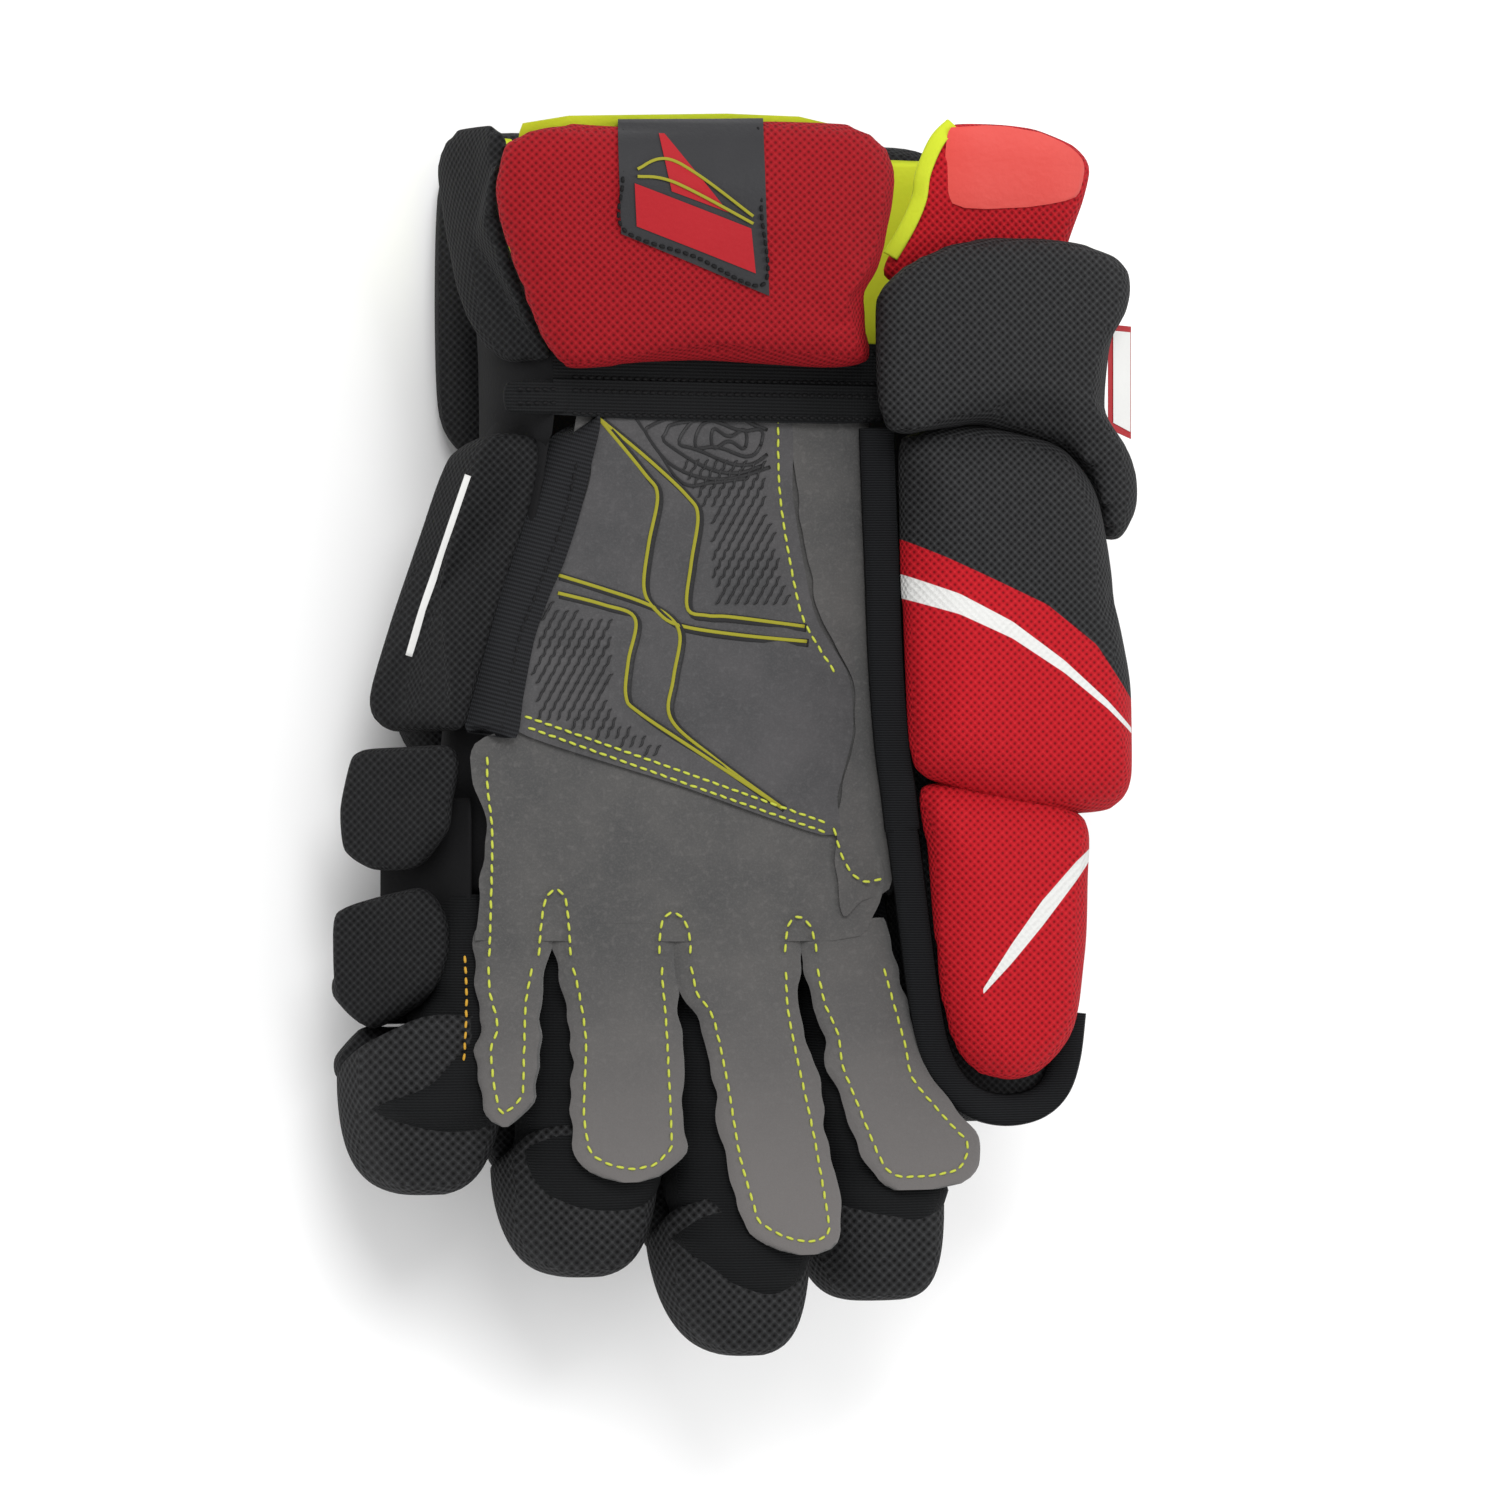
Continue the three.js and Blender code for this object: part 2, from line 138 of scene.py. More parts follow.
# ---------------------------------------------------------------- meshes
SIGHT = Vector((-math.sin(LEAN), 0, math.cos(LEAN)))
ACROSS = Vector((math.cos(LEAN), 0, math.sin(LEAN)))


def weave_map(mesh):
    """A UV map in millimetres, laid on each face from the side that it faces most."""
    layer = mesh.uv_layers.new(name="Weave")
    for face in mesh.polygons:
        n = face.normal
        facing = (abs(n.dot(SIGHT)) * 1.6, abs(n.dot(ACROSS)), abs(n.y))
        side = facing.index(max(facing))
        for loop in face.loop_indices:
            p = mesh.vertices[mesh.loops[loop].vertex_index].co * 1000
            across, up, high = p.dot(ACROSS), p.y, p.dot(SIGHT)
            layer.data[loop].uv = ((across, up), (up, high), (across, high))[side]


def declare(obj, node):
    """Hides the CAD nodes that a piece stands for."""
    if node:
        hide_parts(*([node] if isinstance(node, str) else node))
    return obj


def finish_mesh(name, bm, material, body):
    """Turns a bmesh into a smooth shaded object that rides on a body."""
    bmesh.ops.recalc_face_normals(bm, faces=bm.faces)
    mesh = bpy.data.meshes.new(name)
    bm.to_mesh(mesh)
    bm.free()
    for face in mesh.polygons:
        face.use_smooth = True
    weave_map(mesh)
    obj = bpy.data.objects.new(name, mesh)
    bpy.context.collection.objects.link(obj)
    mesh.materials.append(material)
    if body:
        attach(obj, body)
    return obj


def rings_to_mesh(name, rings, material, body):
    """A closed skin through closed rings of points."""
    bm = bmesh.new()
    rows = [[bm.verts.new(p) for p in ring] for ring in rings]
    size = len(rows[0])
    for low, high in zip(rows, rows[1:]):
        for i in range(size):
            j = (i + 1) % size
            bm.faces.new((low[i], low[j], high[j], high[i]))
    for row in (rows[0], rows[-1]):
        hub = bm.verts.new(sum((v.co for v in row), Vector()) / size)
        for i in range(size):
            bm.faces.new((row[i], row[(i + 1) % size], hub))
    return finish_mesh(name, bm, material, body)


def slab(name, top, bottom, material, body, node, rim=None):
    """A thin solid between two grids of points, with crisp edges. rim is the material of its cut edge."""
    bm = bmesh.new()
    grids = [[[bm.verts.new(p) for p in row] for row in grid] for grid in (top, bottom)]
    for grid in grids:
        for r, s in zip(grid, grid[1:]):
            for i in range(len(r) - 1):
                bm.faces.new((r[i], r[i + 1], s[i + 1], s[i]))
    upper, under = grids
    sides = []
    for k in range(len(upper) - 1):
        for i in (0, -1):
            sides.append(bm.faces.new((upper[k][i], upper[k + 1][i], under[k + 1][i], under[k][i])))
    for r, s in ((upper[0], under[0]), (upper[-1], under[-1])):
        for i in range(len(r) - 1):
            sides.append(bm.faces.new((r[i], r[i + 1], s[i + 1], s[i])))
    for face in sides:
        face.material_index = 1 if rim else 0
    obj = finish_mesh(name, bm, material, body)
    if rim:
        obj.data.materials.append(rim)
    crease = obj.modifiers.new("Edge", "EDGE_SPLIT")
    crease.split_angle = SHARP
    apply_modifiers(obj)
    return declare(obj, node)


def pad(name, outline, normal, below, above, material, body, node=None, edge=7.0, crown=0.25,
        count=110, rings=13, lumps=0.35, lean=True, puff=None, tint=None):
    """A stuffed pad. outline holds (u, y, z) points; the top stands `above` over them along normal, with a
    rounded edge `edge` wide. puff is how far the cloth simulation may swell it; tint gives its points the
    colour marks."""
    place = at if lean else nat
    ring = [place(*p) for p in smooth_closed(outline, count)]
    n = Vector(normal).normalized()
    middle = sum(ring, Vector()) / len(ring)
    steps = []
    for height, sign in ((below, -1), (above, 1)):
        part = []
        for k in range(rings):
            share = (k / (rings - 1)) ** 1.45
            row = []
            for p in ring:
                inward = middle - p
                q = p + inward * share * 0.985
                depth = inward.length * share * 1000
                s = clamp(depth / min(edge, inward.length * 1000 * 0.8))
                h = height * ((1 - crown) * math.sqrt(1 - (1 - s) ** 2) + crown * (1 - (1 - share) ** 2))
                if sign > 0:
                    h += rumple(q, lumps, 4.5, height) * s
                row.append(q + n * (sign * h / 1000))
            part.append(row)
        steps.append(part)
    bottom, top = steps
    obj = rings_to_mesh(name, bottom[::-1] + top[1:], material, None)
    if puff:
        inflate(obj, puff)
    if tint:
        tint(obj)
    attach(obj, body)
    return declare(obj, node)


VOXEL = 2.4  # millimetres between the cloth's points
PRESSURE = 4.0
FRAMES = 20
LARGER = 1.008  # how much larger a pad starts, as the cloth pulls its outline in
OUTWARD_SHARE, INWARD_SHARE = 0.8, 0.2  # how much of the cloth's movement is kept


def inflate(obj, reach):
    """Stuffs a closed shape by cloth simulation; no point moves more than `reach` millimetres."""
    mesh = obj.data
    middle = sum((v.co for v in mesh.vertices), Vector()) / len(mesh.vertices)
    for v in mesh.vertices:
        v.co = middle + (v.co - middle) * LARGER
    remesh = obj.modifiers.new("Even", "REMESH")
    remesh.mode = "VOXEL"
    remesh.voxel_size = VOXEL / 1000
    apply_modifiers(obj)
    cloth = obj.modifiers.new("Stuffing", "CLOTH")
    cloth.settings.use_pressure = True
    cloth.settings.uniform_pressure_force = PRESSURE
    cloth.settings.effector_weights.gravity = 0
    cloth.point_cache.frame_start = 1
    cloth.point_cache.frame_end = FRAMES
    scene = bpy.context.scene
    for number in range(1, FRAMES + 1):
        scene.frame_set(number)
    swollen = obj.evaluated_get(bpy.context.evaluated_depsgraph_get()).to_mesh()
    places = [v.co.copy() for v in swollen.vertices]
    normals = [v.normal.copy() for v in obj.data.vertices]
    obj.modifiers.remove(cloth)
    for v, place, normal in zip(obj.data.vertices, places, normals):
        move = place - v.co
        inward = min(0.0, move.dot(normal))
        move = (move - normal * inward) * OUTWARD_SHARE + normal * inward * INWARD_SHARE
        if move.length > reach / 1000:
            move *= reach / 1000 / move.length
        v.co = v.co + move
    scene.frame_set(1)
    smooth = obj.modifiers.new("Smooth", "SUBSURF")
    smooth.levels = 1
    apply_modifiers(obj)
    for face in obj.data.polygons:
        face.use_smooth = True
    while obj.data.uv_layers:
        obj.data.uv_layers.remove(obj.data.uv_layers[0])
    weave_map(obj.data)


def top_of(obj, fallback, lift=0.0):
    """A height(u, y) that lies on the outside of obj, or on fallback(u, y) beyond it."""
    tree = BVHTree.FromObject(obj, bpy.context.evaluated_depsgraph_get())

    def height(u, y):
        start = at(u, y, PALM + 60)
        hit = tree.ray_cast(start, -SIGHT)[0]
        return hit.z * 1000 + lift if hit else fallback(u, y)
    return height


def across_of(p):
    """The u of a point in metres."""
    x = p.x * 1000 + CENTRE[0]
    return x * math.cos(LEAN) + (p.z * 1000 - PALM) * math.sin(LEAN)


def span(outline, y):
    """The lowest and highest u where an outline crosses a line of constant y."""
    found = []
    size = len(outline)
    for i in range(size):
        (u0, y0), (u1, y1) = outline[i], outline[(i + 1) % size]
        if (y0 <= y < y1) or (y1 <= y < y0):
            found.append(u0 + (u1 - u0) * (y - y0) / (y1 - y0))
    return (min(found), max(found)) if found else None


def sliced(name, outline, height, thick, material, body, node=None, step=1.6, columns=22,
        count=160, wave=0.0, smooth=True, ripple=0.0, rim=None, curl=0.0):
    """A sheet with a y-monotone outline, `thick` deep, lying on the surface height(u, y). ripple makes its
    long edges wavy, rim is the material of its cut edge and curl bends its long edges down."""
    edge = smooth_closed(outline, count) if smooth else outline
    low, high = min(p[1] for p in edge), max(p[1] for p in edge)
    total = max(3, round((high - low) / step))
    top, bottom = [], []
    for k in range(total + 1):
        y = low + (high - low) * clamp(k / total, 0.004, 0.996)
        found = span(edge, y)
        if not found:
            continue
        a, b = (end + ripple * noise.noise(Vector((end * 0.02, y * 0.19, seed)))
            for end, seed in zip(found, (1.3, 7.7)))
        upper, under = [], []
        for i in range(columns + 1):
            u = a + (b - a) * i / columns
            z = height(u, y)
            inner = 4 * (i / columns) * (1 - i / columns)
            z += rumple(at(u, y, z), wave, 5.0) * (0.4 + 0.6 * inner) - curl * (1 - inner) ** 3
            upper.append(at(u, y, z))
            under.append(at(u, y, z - thick))
        top.append(upper)
        bottom.append(under)
    return slab(name, top, bottom, material, body, node, rim)


def cut_from(outline):
    """Works out a flat-cut panel's width, length and twice its area from its outline in (u, y); nothing is
    kept.
    """
    across = 1 / math.cos(LEAN) / 1000
    width = (max(p[0] for p in outline) - min(p[0] for p in outline)) * across
    length = (max(p[1] for p in outline) - min(p[1] for p in outline)) / 1000
    twice = sum(a[0] * b[1] - b[0] * a[1] for a, b in zip(outline, outline[1:] + outline[:1]))


def quad_patch(name, corners, height, thick, material, body, node=None, across=30, along=26):
    """A thin four-sided patch: corners run top left, top right, bottom right, bottom left."""
    (a, b, c, d) = corners
    spots = []
    for j in range(along + 1):
        t = j / along
        row = []
        for i in range(across + 1):
            s = i / across
            row.append([(a[k] * (1 - s) + b[k] * s) * (1 - t) + (d[k] * (1 - s) + c[k] * s) * t
                for k in (0, 1)])
        spots.append(row)
    top, bottom = ([[at(u, y, height(u, y) - drop) for u, y in row] for row in spots]
        for drop in (0, thick))
    return slab(name, top, bottom, material, body, node)


def apply_modifiers(obj):
    bpy.context.view_layer.objects.active = obj
    for other in bpy.context.selected_objects:
        other.select_set(False)
    obj.select_set(True)
    for modifier in list(obj.modifiers):
        bpy.ops.object.modifier_apply(modifier=modifier.name)


TAPE_SECTION = ((-1, 0), (-0.9, 0.8), (-0.5, 1), (0, 1.05), (0.5, 1), (0.9, 0.8), (1, 0), (0, -0.2))


def tape(name, line, width, thick, material, body, node=None, count=90):
    """A flat tape along a line of (u, y, z) points, lying flat to SIGHT."""
    points = [at(*p) for p in smooth_open(line, count)]
    rows = []
    for i, p in enumerate(points):
        ahead = (points[min(i + 1, count - 1)] - points[max(i - 1, 0)]).normalized()
        side = ahead.cross(SIGHT).normalized()
        up = side.cross(ahead).normalized()
        rows.append([p + side * (width / 2000) * a + up * (thick / 1000) * b for a, b in TAPE_SECTION])
    return declare(rings_to_mesh(name, rows, material, body), node)


STITCHES = {}


STITCH_LIFT = 0.25


def stitch(body, line, colour, pitch=2.8, length=1.9, width=0.3, height=None):
    """Queues a run of stitches along a line of (u, y) or (u, y, z) points."""
    full = [p if len(p) == 3 else (p[0], p[1], height(p[0], p[1])) for p in line]
    fine = smooth_open(full, max(30, len(full) * 14))
    points = [at(*p) for p in fine]
    total = sum((b - a).length for a, b in zip(points, points[1:])) * 1000
    number = max(1, int(total / pitch))
    spots = resample([tuple(p) for p in points], number * 2 + 1)
    for i in range(number):
        middle = Vector(spots[2 * i + 1])
        ahead = (Vector(spots[2 * i + 2]) - Vector(spots[2 * i])).normalized()
        STITCHES.setdefault((body, colour), []).append((middle, ahead, length, width))


def make_stitches(materials):
    """Makes every queued run of stitches, one object for each body and colour."""
    for (body, colour), runs in STITCHES.items():
        bm = bmesh.new()
        for middle, ahead, length, width in runs:
            turn = RANDOM.uniform(-0.12, 0.12)
            side = ahead.cross(SIGHT).normalized()
            ahead = (ahead + side * turn).normalized()
            side = ahead.cross(SIGHT).normalized()
            up = side.cross(ahead).normalized()
            rings = []
            for along, size in ((-0.5, 0.35), (-0.42, 0.8), (-0.2, 1), (0.2, 1), (0.42, 0.8), (0.5, 0.35)):
                rise = STITCH_LIFT * (1 - (2 * along) ** 4) - 0.12
                core = middle + ahead * (along * length / 1000) + up * (rise / 1000)
                ring = []
                for k in range(6):
                    a = k * math.pi / 3
                    offset = side * math.cos(a) + up * math.sin(a) * 0.75
                    ring.append(bm.verts.new(core + offset * (width * size / 1000)))
                rings.append(ring)
            for r, s in zip(rings, rings[1:]):
                for k in range(6):
                    bm.faces.new((r[k], r[(k + 1) % 6], s[(k + 1) % 6], s[k]))
            bm.faces.new(rings[0][::-1])
            bm.faces.new(rings[-1])
        obj = finish_mesh(f"stitches_{body}_{colour}", bm, materials[colour], body)


# ---------------------------------------------------------------- materials
def srgb(r, g, b):
    """A colour from 0 to 255 a channel as the linear one that a shader takes."""
    def line(c):
        c /= 255
        return c / 12.92 if c <= 0.04045 else ((c + 0.055) / 1.055) ** 2.4
    return (line(r), line(g), line(b), 1.0)


class Nodes:
    """A short way to write a material's nodes."""

    def __init__(self, name, roughness, sheen=0.0, specular=0.3):
        self.material = bpy.data.materials.new(name)
        self.material.use_nodes = True
        self.tree = self.material.node_tree
        self.shader = self.tree.nodes["Principled BSDF"]
        self.shader.inputs["Roughness"].default_value = roughness
        self.shader.inputs["Sheen Weight"].default_value = sheen
        self.shader.inputs["Sheen Roughness"].default_value = 0.5
        self.shader.inputs["Specular IOR Level"].default_value = specular

    def new(self, kind, **settings):
        node = self.tree.nodes.new("ShaderNode" + kind)
        for key, value in settings.items():
            setattr(node, key, value)
        return node

    def link(self, a, b):
        self.tree.links.new(a, b)
        return b

    def put(self, socket, value):
        if hasattr(value, "links"):
            self.link(value, socket)
        else:
            socket.default_value = value

    def math(self, kind, a, b=0.0):
        node = self.new("Math", operation=kind)
        for socket, value in zip(node.inputs, (a, b)):
            self.put(socket, value)
        return node.outputs[0]

    def mix(self, share, a, b, blend="MIX"):
        node = self.new("Mix", data_type="RGBA", blend_type=blend)
        self.put(node.inputs[0], share)
        self.put(node.inputs[6], a)
        self.put(node.inputs[7], b)
        return node.outputs[2]

    def step(self, value, low, high):
        """0 below low and 1 above high, with a soft slope between."""
        node = self.new("MapRange", interpolation_type="SMOOTHSTEP")
        self.put(node.inputs[0], value)
        node.inputs[1].default_value = low
        node.inputs[2].default_value = high
        return node.outputs[0]

    def uv(self, scale=1.0, turn=0.0):
        source = self.new("UVMap", uv_map="Weave").outputs[0]
        node = self.new("Mapping")
        self.link(source, node.inputs[0])
        node.inputs["Scale"].default_value = (scale, scale, scale)
        node.inputs["Rotation"].default_value = (0, 0, math.radians(turn))
        return node.outputs[0]

    def noise(self, scale, detail=3.0, roughness=0.5):
        node = self.new("TexNoise")
        node.inputs["Scale"].default_value = scale
        node.inputs["Detail"].default_value = detail
        node.inputs["Roughness"].default_value = roughness
        self.link(self.uv(), node.inputs["Vector"])
        return node.outputs[0]

    def bump(self, height, strength, distance, normal=None):
        node = self.new("Bump")
        node.inputs["Strength"].default_value = strength
        node.inputs["Distance"].default_value = distance
        self.link(height, node.inputs["Height"])
        if normal:
            self.link(normal, node.inputs["Normal"])
        return node.outputs[0]

    def done(self, colour, normal=None):
        self.put(self.shader.inputs["Base Color"], colour)
        if normal:
            self.link(normal, self.shader.inputs["Normal"])
        return self.material


def mesh_fabric(name, thread, hole_shade, light, cell, strength=0.6, rough=0.8, second=None, specular=0.12):
    """A knitted mesh: staggered holes between raised threads. The holes take a darker copy of the thread
    colour, which is painted shade in the hollows, and the threads' crests take the light colour, which is a
    painted highlight. second is three more colours in the same order, used where the points' "split"
    attribute is above 0; "mark" is the half width of a white mark and "mark_offset" the way to its line."""
    m = Nodes(name, rough, 0.0, specular)
    cells = m.new("TexVoronoi", feature="F1")
    cells.inputs["Scale"].default_value = 1.0
    cells.inputs["Randomness"].default_value = 0.1
    m.link(m.uv(1 / cell, 45), cells.inputs["Vector"])
    distance = cells.outputs["Distance"]
    # Painted shade: the hollows between the threads take the darker hole colour.
    thread_mask = m.step(distance, 0.1, 0.36)
    # Painted highlight: the threads' crests take the light colour.
    crest_highlight = m.step(distance, 0.38, 0.68)
    fuzz = m.noise(2.2, 4.0)

    def palette(colours):
        # The thread colour, the hole colour as painted shade and the crest colour as a painted highlight.
        yarn, gap, high = (srgb(*colour) for colour in colours)
        return m.mix(m.math("MULTIPLY", crest_highlight, 0.6), m.mix(thread_mask, gap, yarn), high)

    colour = palette((thread, hole_shade, light))
    if second:
        split = m.new("Attribute", attribute_name="split").outputs["Fac"]
        half = m.new("Attribute", attribute_name="mark").outputs["Fac"]
        off = m.new("Attribute", attribute_name="mark_offset").outputs["Fac"]
        mark = m.math("SUBTRACT", half, m.math("ABSOLUTE", off))
        colour = m.mix(m.step(split, -0.15, 0.15), colour, palette(second))
        colour = m.mix(m.step(mark, -0.1, 0.1), colour, srgb(205, 205, 203))
    spun = m.mix(m.math("MULTIPLY", fuzz, 0.12), colour, (0.5, 0.5, 0.5, 1), "OVERLAY")
    height = m.math("ADD", distance, m.math("MULTIPLY", fuzz, 0.25))
    soft = m.bump(m.noise(0.09, 2.0), 0.25, 0.003)
    return m.done(spun, m.bump(height, strength, cell * 0.0006, soft))


def suede(name, base, dark, light, wear=0.5, tips=None):
    """Brushed suede, lighter toward the fingertips when `tips` gives that colour."""
    m = Nodes(name, 0.95, 0.15, 0.1)
    base, dark, light = srgb(*base), srgb(*dark), srgb(*light)
    broad = m.noise(0.05, 5.0, roughness=0.6)
    grain = m.noise(2.0, 6.0, roughness=0.7)
    nap = m.noise(0.7, 4.0)
    colour = m.mix(m.step(broad, 0.3, 0.7), dark, base)
    if tips:
        split = m.new("SeparateXYZ")
        m.link(m.uv(), split.inputs[0])
        toward = m.step(m.math("MULTIPLY", split.outputs[1], -1.0), 40, 115)
        colour = m.mix(toward, colour, srgb(*tips))
    colour = m.mix(m.math("MULTIPLY", m.step(nap, 0.5, 0.75), wear), colour, light)
    colour = m.mix(m.math("MULTIPLY", m.step(grain, 0.45, 0.7), 0.35), colour, light)
    height = m.math("ADD", m.math("MULTIPLY", grain, 0.5), nap)
    wrinkle = m.bump(m.noise(0.12, 3.0), 0.3, 0.002)
    return m.done(colour, m.bump(height, 0.45, 0.0005, wrinkle))


def webbing(name, base, light, rib=1.3, turn=0.0):
    """Woven tape: ribs across it, with finer threads the other way."""
    m = Nodes(name, 0.85, 0.0, 0.1)
    base, light = srgb(*base), srgb(*light)
    waves = []
    for direction, scale, distortion in (("Y", 0.5, 0.3), ("X", 1.1, 0.6)):
        wave = m.new("TexWave", bands_direction=direction)
        wave.inputs["Scale"].default_value = 1 / rib * scale
        wave.inputs["Distortion"].default_value = distortion
        m.link(m.uv(1.0, turn), wave.inputs["Vector"])
        waves.append(wave.outputs[1])
    height = m.math("ADD", waves[0], m.math("MULTIPLY", waves[1], 0.5))
    # Painted highlight: the ribs' raised tops take the light colour, following the same height that drives
    # the bump.
    colour = m.mix(m.step(height, 0.3, 1.2), base, light)
    colour = m.mix(m.math("MULTIPLY", m.noise(0.08, 3.0), 0.3), colour, light)
    return m.done(colour, m.bump(height, 0.5, 0.0004))


def plain(name, base, light, rough=0.5, grain=0.9):
    """A smooth surface with soft colour changes and a fine grain."""
    m = Nodes(name, rough, 0.0, 0.2)
    base, light = srgb(*base), srgb(*light)
    colour = m.mix(m.math("MULTIPLY", m.noise(0.1, 4.0), 0.5), base, light)
    colour = m.mix(m.math("MULTIPLY", m.noise(grain, 3.0), 0.25), colour, light)
    return m.done(colour, m.bump(m.noise(grain, 4.0), 0.25, 0.0005))


# Each knit is a thread colour, a darker hole colour that is painted shade, and a lighter crest colour that is
# a painted highlight.
RED_KNIT = ((164, 17, 28), (112, 6, 15), (190, 36, 44))
BLACK_KNIT = ((23, 23, 24), (5, 5, 6), (48, 49, 50))
# The palm cuff's knit is the red knit darkened: partly a darker red cloth, partly painted shade where the
# cuff gets less light.
CUFF_KNIT_SHADED = ((138, 16, 25), (95, 6, 13), (160, 33, 40))
SOFT_BLACK_KNIT = ((35, 35, 36), (9, 9, 10), (64, 65, 66))
RED = mesh_fabric("red_knit", *RED_KNIT, 1.3, strength=0.7)
CUFF_RED_SHADED = mesh_fabric("cuff_red_knit_with_painted_shade", *CUFF_KNIT_SHADED, 1.3, strength=0.7)
SOFT_BLACK = mesh_fabric("soft_black_knit", *SOFT_BLACK_KNIT, 1.3)
MARKED_RED = mesh_fabric("red_knit_with_marks", *RED_KNIT, 1.3, second=RED_KNIT, strength=0.7)
BLACK = mesh_fabric("black_knit", *BLACK_KNIT, 1.3)
TWO_TONE = mesh_fabric("black_and_red_knit", *SOFT_BLACK_KNIT, 1.3, second=RED_KNIT)
COARSE = mesh_fabric("black_coarse_mesh", (33, 33, 34), (8, 8, 8), (61, 62, 63), 1.6, strength=0.8)
GUSSET = webbing("gusset_twill", (12, 12, 13), (25, 26, 27), rib=1.0)
SUEDE = suede("palm_suede", (77, 76, 75), (66, 66, 66), (96, 94, 93), 0.35, tips=(98, 95, 94))
OVERLAY = suede("overlay_suede", (72, 71, 72), (62, 62, 63), (88, 87, 88), 0.3)
EDGE = suede("suede_cut_edge", (104, 101, 99), (86, 84, 83), (124, 121, 118), 0.6)
STRAP = webbing("strap_webbing", (20, 20, 21), (38, 39, 41), rib=1.5, turn=15)
BAND = webbing("wrist_webbing", (14, 14, 15), (29, 30, 31), rib=1.2)
BINDING = webbing("edge_binding", (10, 10, 11), (29, 30, 32), rib=0.9)
LABEL = plain("label_face", (40, 40, 42), (50, 50, 52), 0.5)
LINING = plain("bright_lining", (176, 190, 26), (198, 208, 60), 0.8)
CORAL = plain("coral_patch", (196, 62, 56), (208, 84, 76), 0.45, 0.7)
WHITE = plain("white_print", (205, 205, 203), (218, 218, 216), 0.6)
LIME = plain("lime_thread", (164, 172, 52), (186, 192, 84), 0.7)
AMBER = plain("amber_thread", (176, 132, 34), (190, 150, 60), 0.7)
DARK = plain("black_thread", (9, 9, 10), (22, 22, 24), 0.7)
PRINT = plain("olive_print", (132, 128, 30), (146, 142, 46), 0.7)
PRINT_RED = plain("red_print", (150, 18, 27), (164, 30, 38), 0.6)
CLOTH = plain("inner_cloth", (10, 10, 11), (20, 20, 22), 0.9)
GRIP_MARK = plain("grip_mark", (30, 30, 31), (40, 40, 41), 0.45)


# ---------------------------------------------------------------- camera and light
AIM = (2.7, -3.9, PALM)  # the point that the camera looks at
SEEN = 0.3375  # metres of the glove's plane across the frame
LAMPS = (("Key", (-0.5, 0.9, 1.3), 0.8, 17), ("Fill", (1.1, 0.2, 0.9), 0.9, 7),
    ("Front", (-0.6, -1.0, 0.8), 0.8, 5))


def studio():
    """The camera at the photograph's angle, a pale floor and soft light."""
    camera = bpy.data.cameras.new("Camera")
    camera.lens = 200
    camera.sensor_width = 36
    camera.clip_end = 20
    holder = bpy.data.objects.new("Camera", camera)
    bpy.context.collection.objects.link(holder)
    place = at(*AIM) + SIGHT * (SEEN * camera.lens / camera.sensor_width)
    right = Vector((0, 1, 0)).cross(SIGHT).normalized()
    up = SIGHT.cross(right)
    holder.matrix_world = Matrix((*zip(right, up, SIGHT, place), (0, 0, 0, 1)))
    bpy.context.scene.camera = holder
    floor_mesh = bpy.data.meshes.new("floor")
    floor_mesh.from_pydata([(-4, -4, 0), (4, -4, 0), (4, 4, 0), (-4, 4, 0)], [], [(0, 1, 2, 3)])
    floor = bpy.data.objects.new("floor", floor_mesh)
    bpy.context.collection.objects.link(floor)
    m = Nodes("floor_white", 0.9)
    floor_mesh.materials.append(m.done((0.93, 0.93, 0.93, 1)))
    floor.location.z = -0.0005
    world = bpy.data.worlds.new("Studio")
    bpy.context.scene.world = world
    world.use_nodes = True
    world.node_tree.nodes["Background"].inputs[0].default_value = (1, 1, 1, 1)
    world.node_tree.nodes["Background"].inputs[1].default_value = 0.75
    for name, place, size, power in LAMPS:
        lamp = bpy.data.lights.new(name, "AREA")
        lamp.size = size
        lamp.energy = power
        obj = bpy.data.objects.new(name, lamp)
        obj.location = place
        obj.rotation_euler = (Vector((0, 0, 0.05)) - Vector(place)).to_track_quat("-Z", "Y").to_euler()
        bpy.context.collection.objects.link(obj)
    bpy.context.scene.view_settings.view_transform = "Standard"


studio()

# ---------------------------------------------------------------- palm
def palm_height(u, y):
    """The palm's surface: a soft hollow in the middle, lower toward the thumb gap."""
    hollow = 1.6 * math.exp(-(((u + 8) / 26) ** 2) - ((y - 22) / 34) ** 2)
    return PALM - hollow + 0.8 * math.sin(u * 0.09) * math.sin(y * 0.07)


PALM_EDGE = [(-35, 77), (-6, 77.4), (28, 77), (27.5, 52), (27.5, 30), (28.5, 12), (29.5, -4), (30.5, -20),
    (33, -34), (31, -41), (28, -46), (14.5, -47.5), (0, -47), (-14, -46.5), (-27, -46), (-40.5, -45.5),
    (-50, -46), (-58, -46), (-56.5, -30), (-56, -18), (-58.5, -10), (-58, -2), (-50, 2), (-46, 22),
    (-40, 38), (-36, 56)]
palm = sliced("palm_skin", PALM_EDGE, palm_height, 1.8, SUEDE, "hand", "palm_panel",
    wave=0.35, columns=60, step=1.5, count=260, ripple=1.1, rim=EDGE)
cut_from(PALM_EDGE)
OVERLAY_EDGE = [(-30.5, 73), (-10, 73.2), (11, 73), (12.4, 53), (16, 32), (18.5, 24), (25, 13), (26, 0),
    (22.5, -14), (21, -23.5), (-14, -11.5), (-49, 0.2), (-48, 8), (-45, 22), (-39, 38), (-33, 56)]
overlay = sliced("palm_patch", OVERLAY_EDGE, over(palm_height, 0.9), 1.2, OVERLAY, "hand", "palm_overlay",
    wave=0.2, columns=50, step=1.5, count=260)
cut_from(OVERLAY_EDGE)
on_overlay = over(palm_height, 1.0)
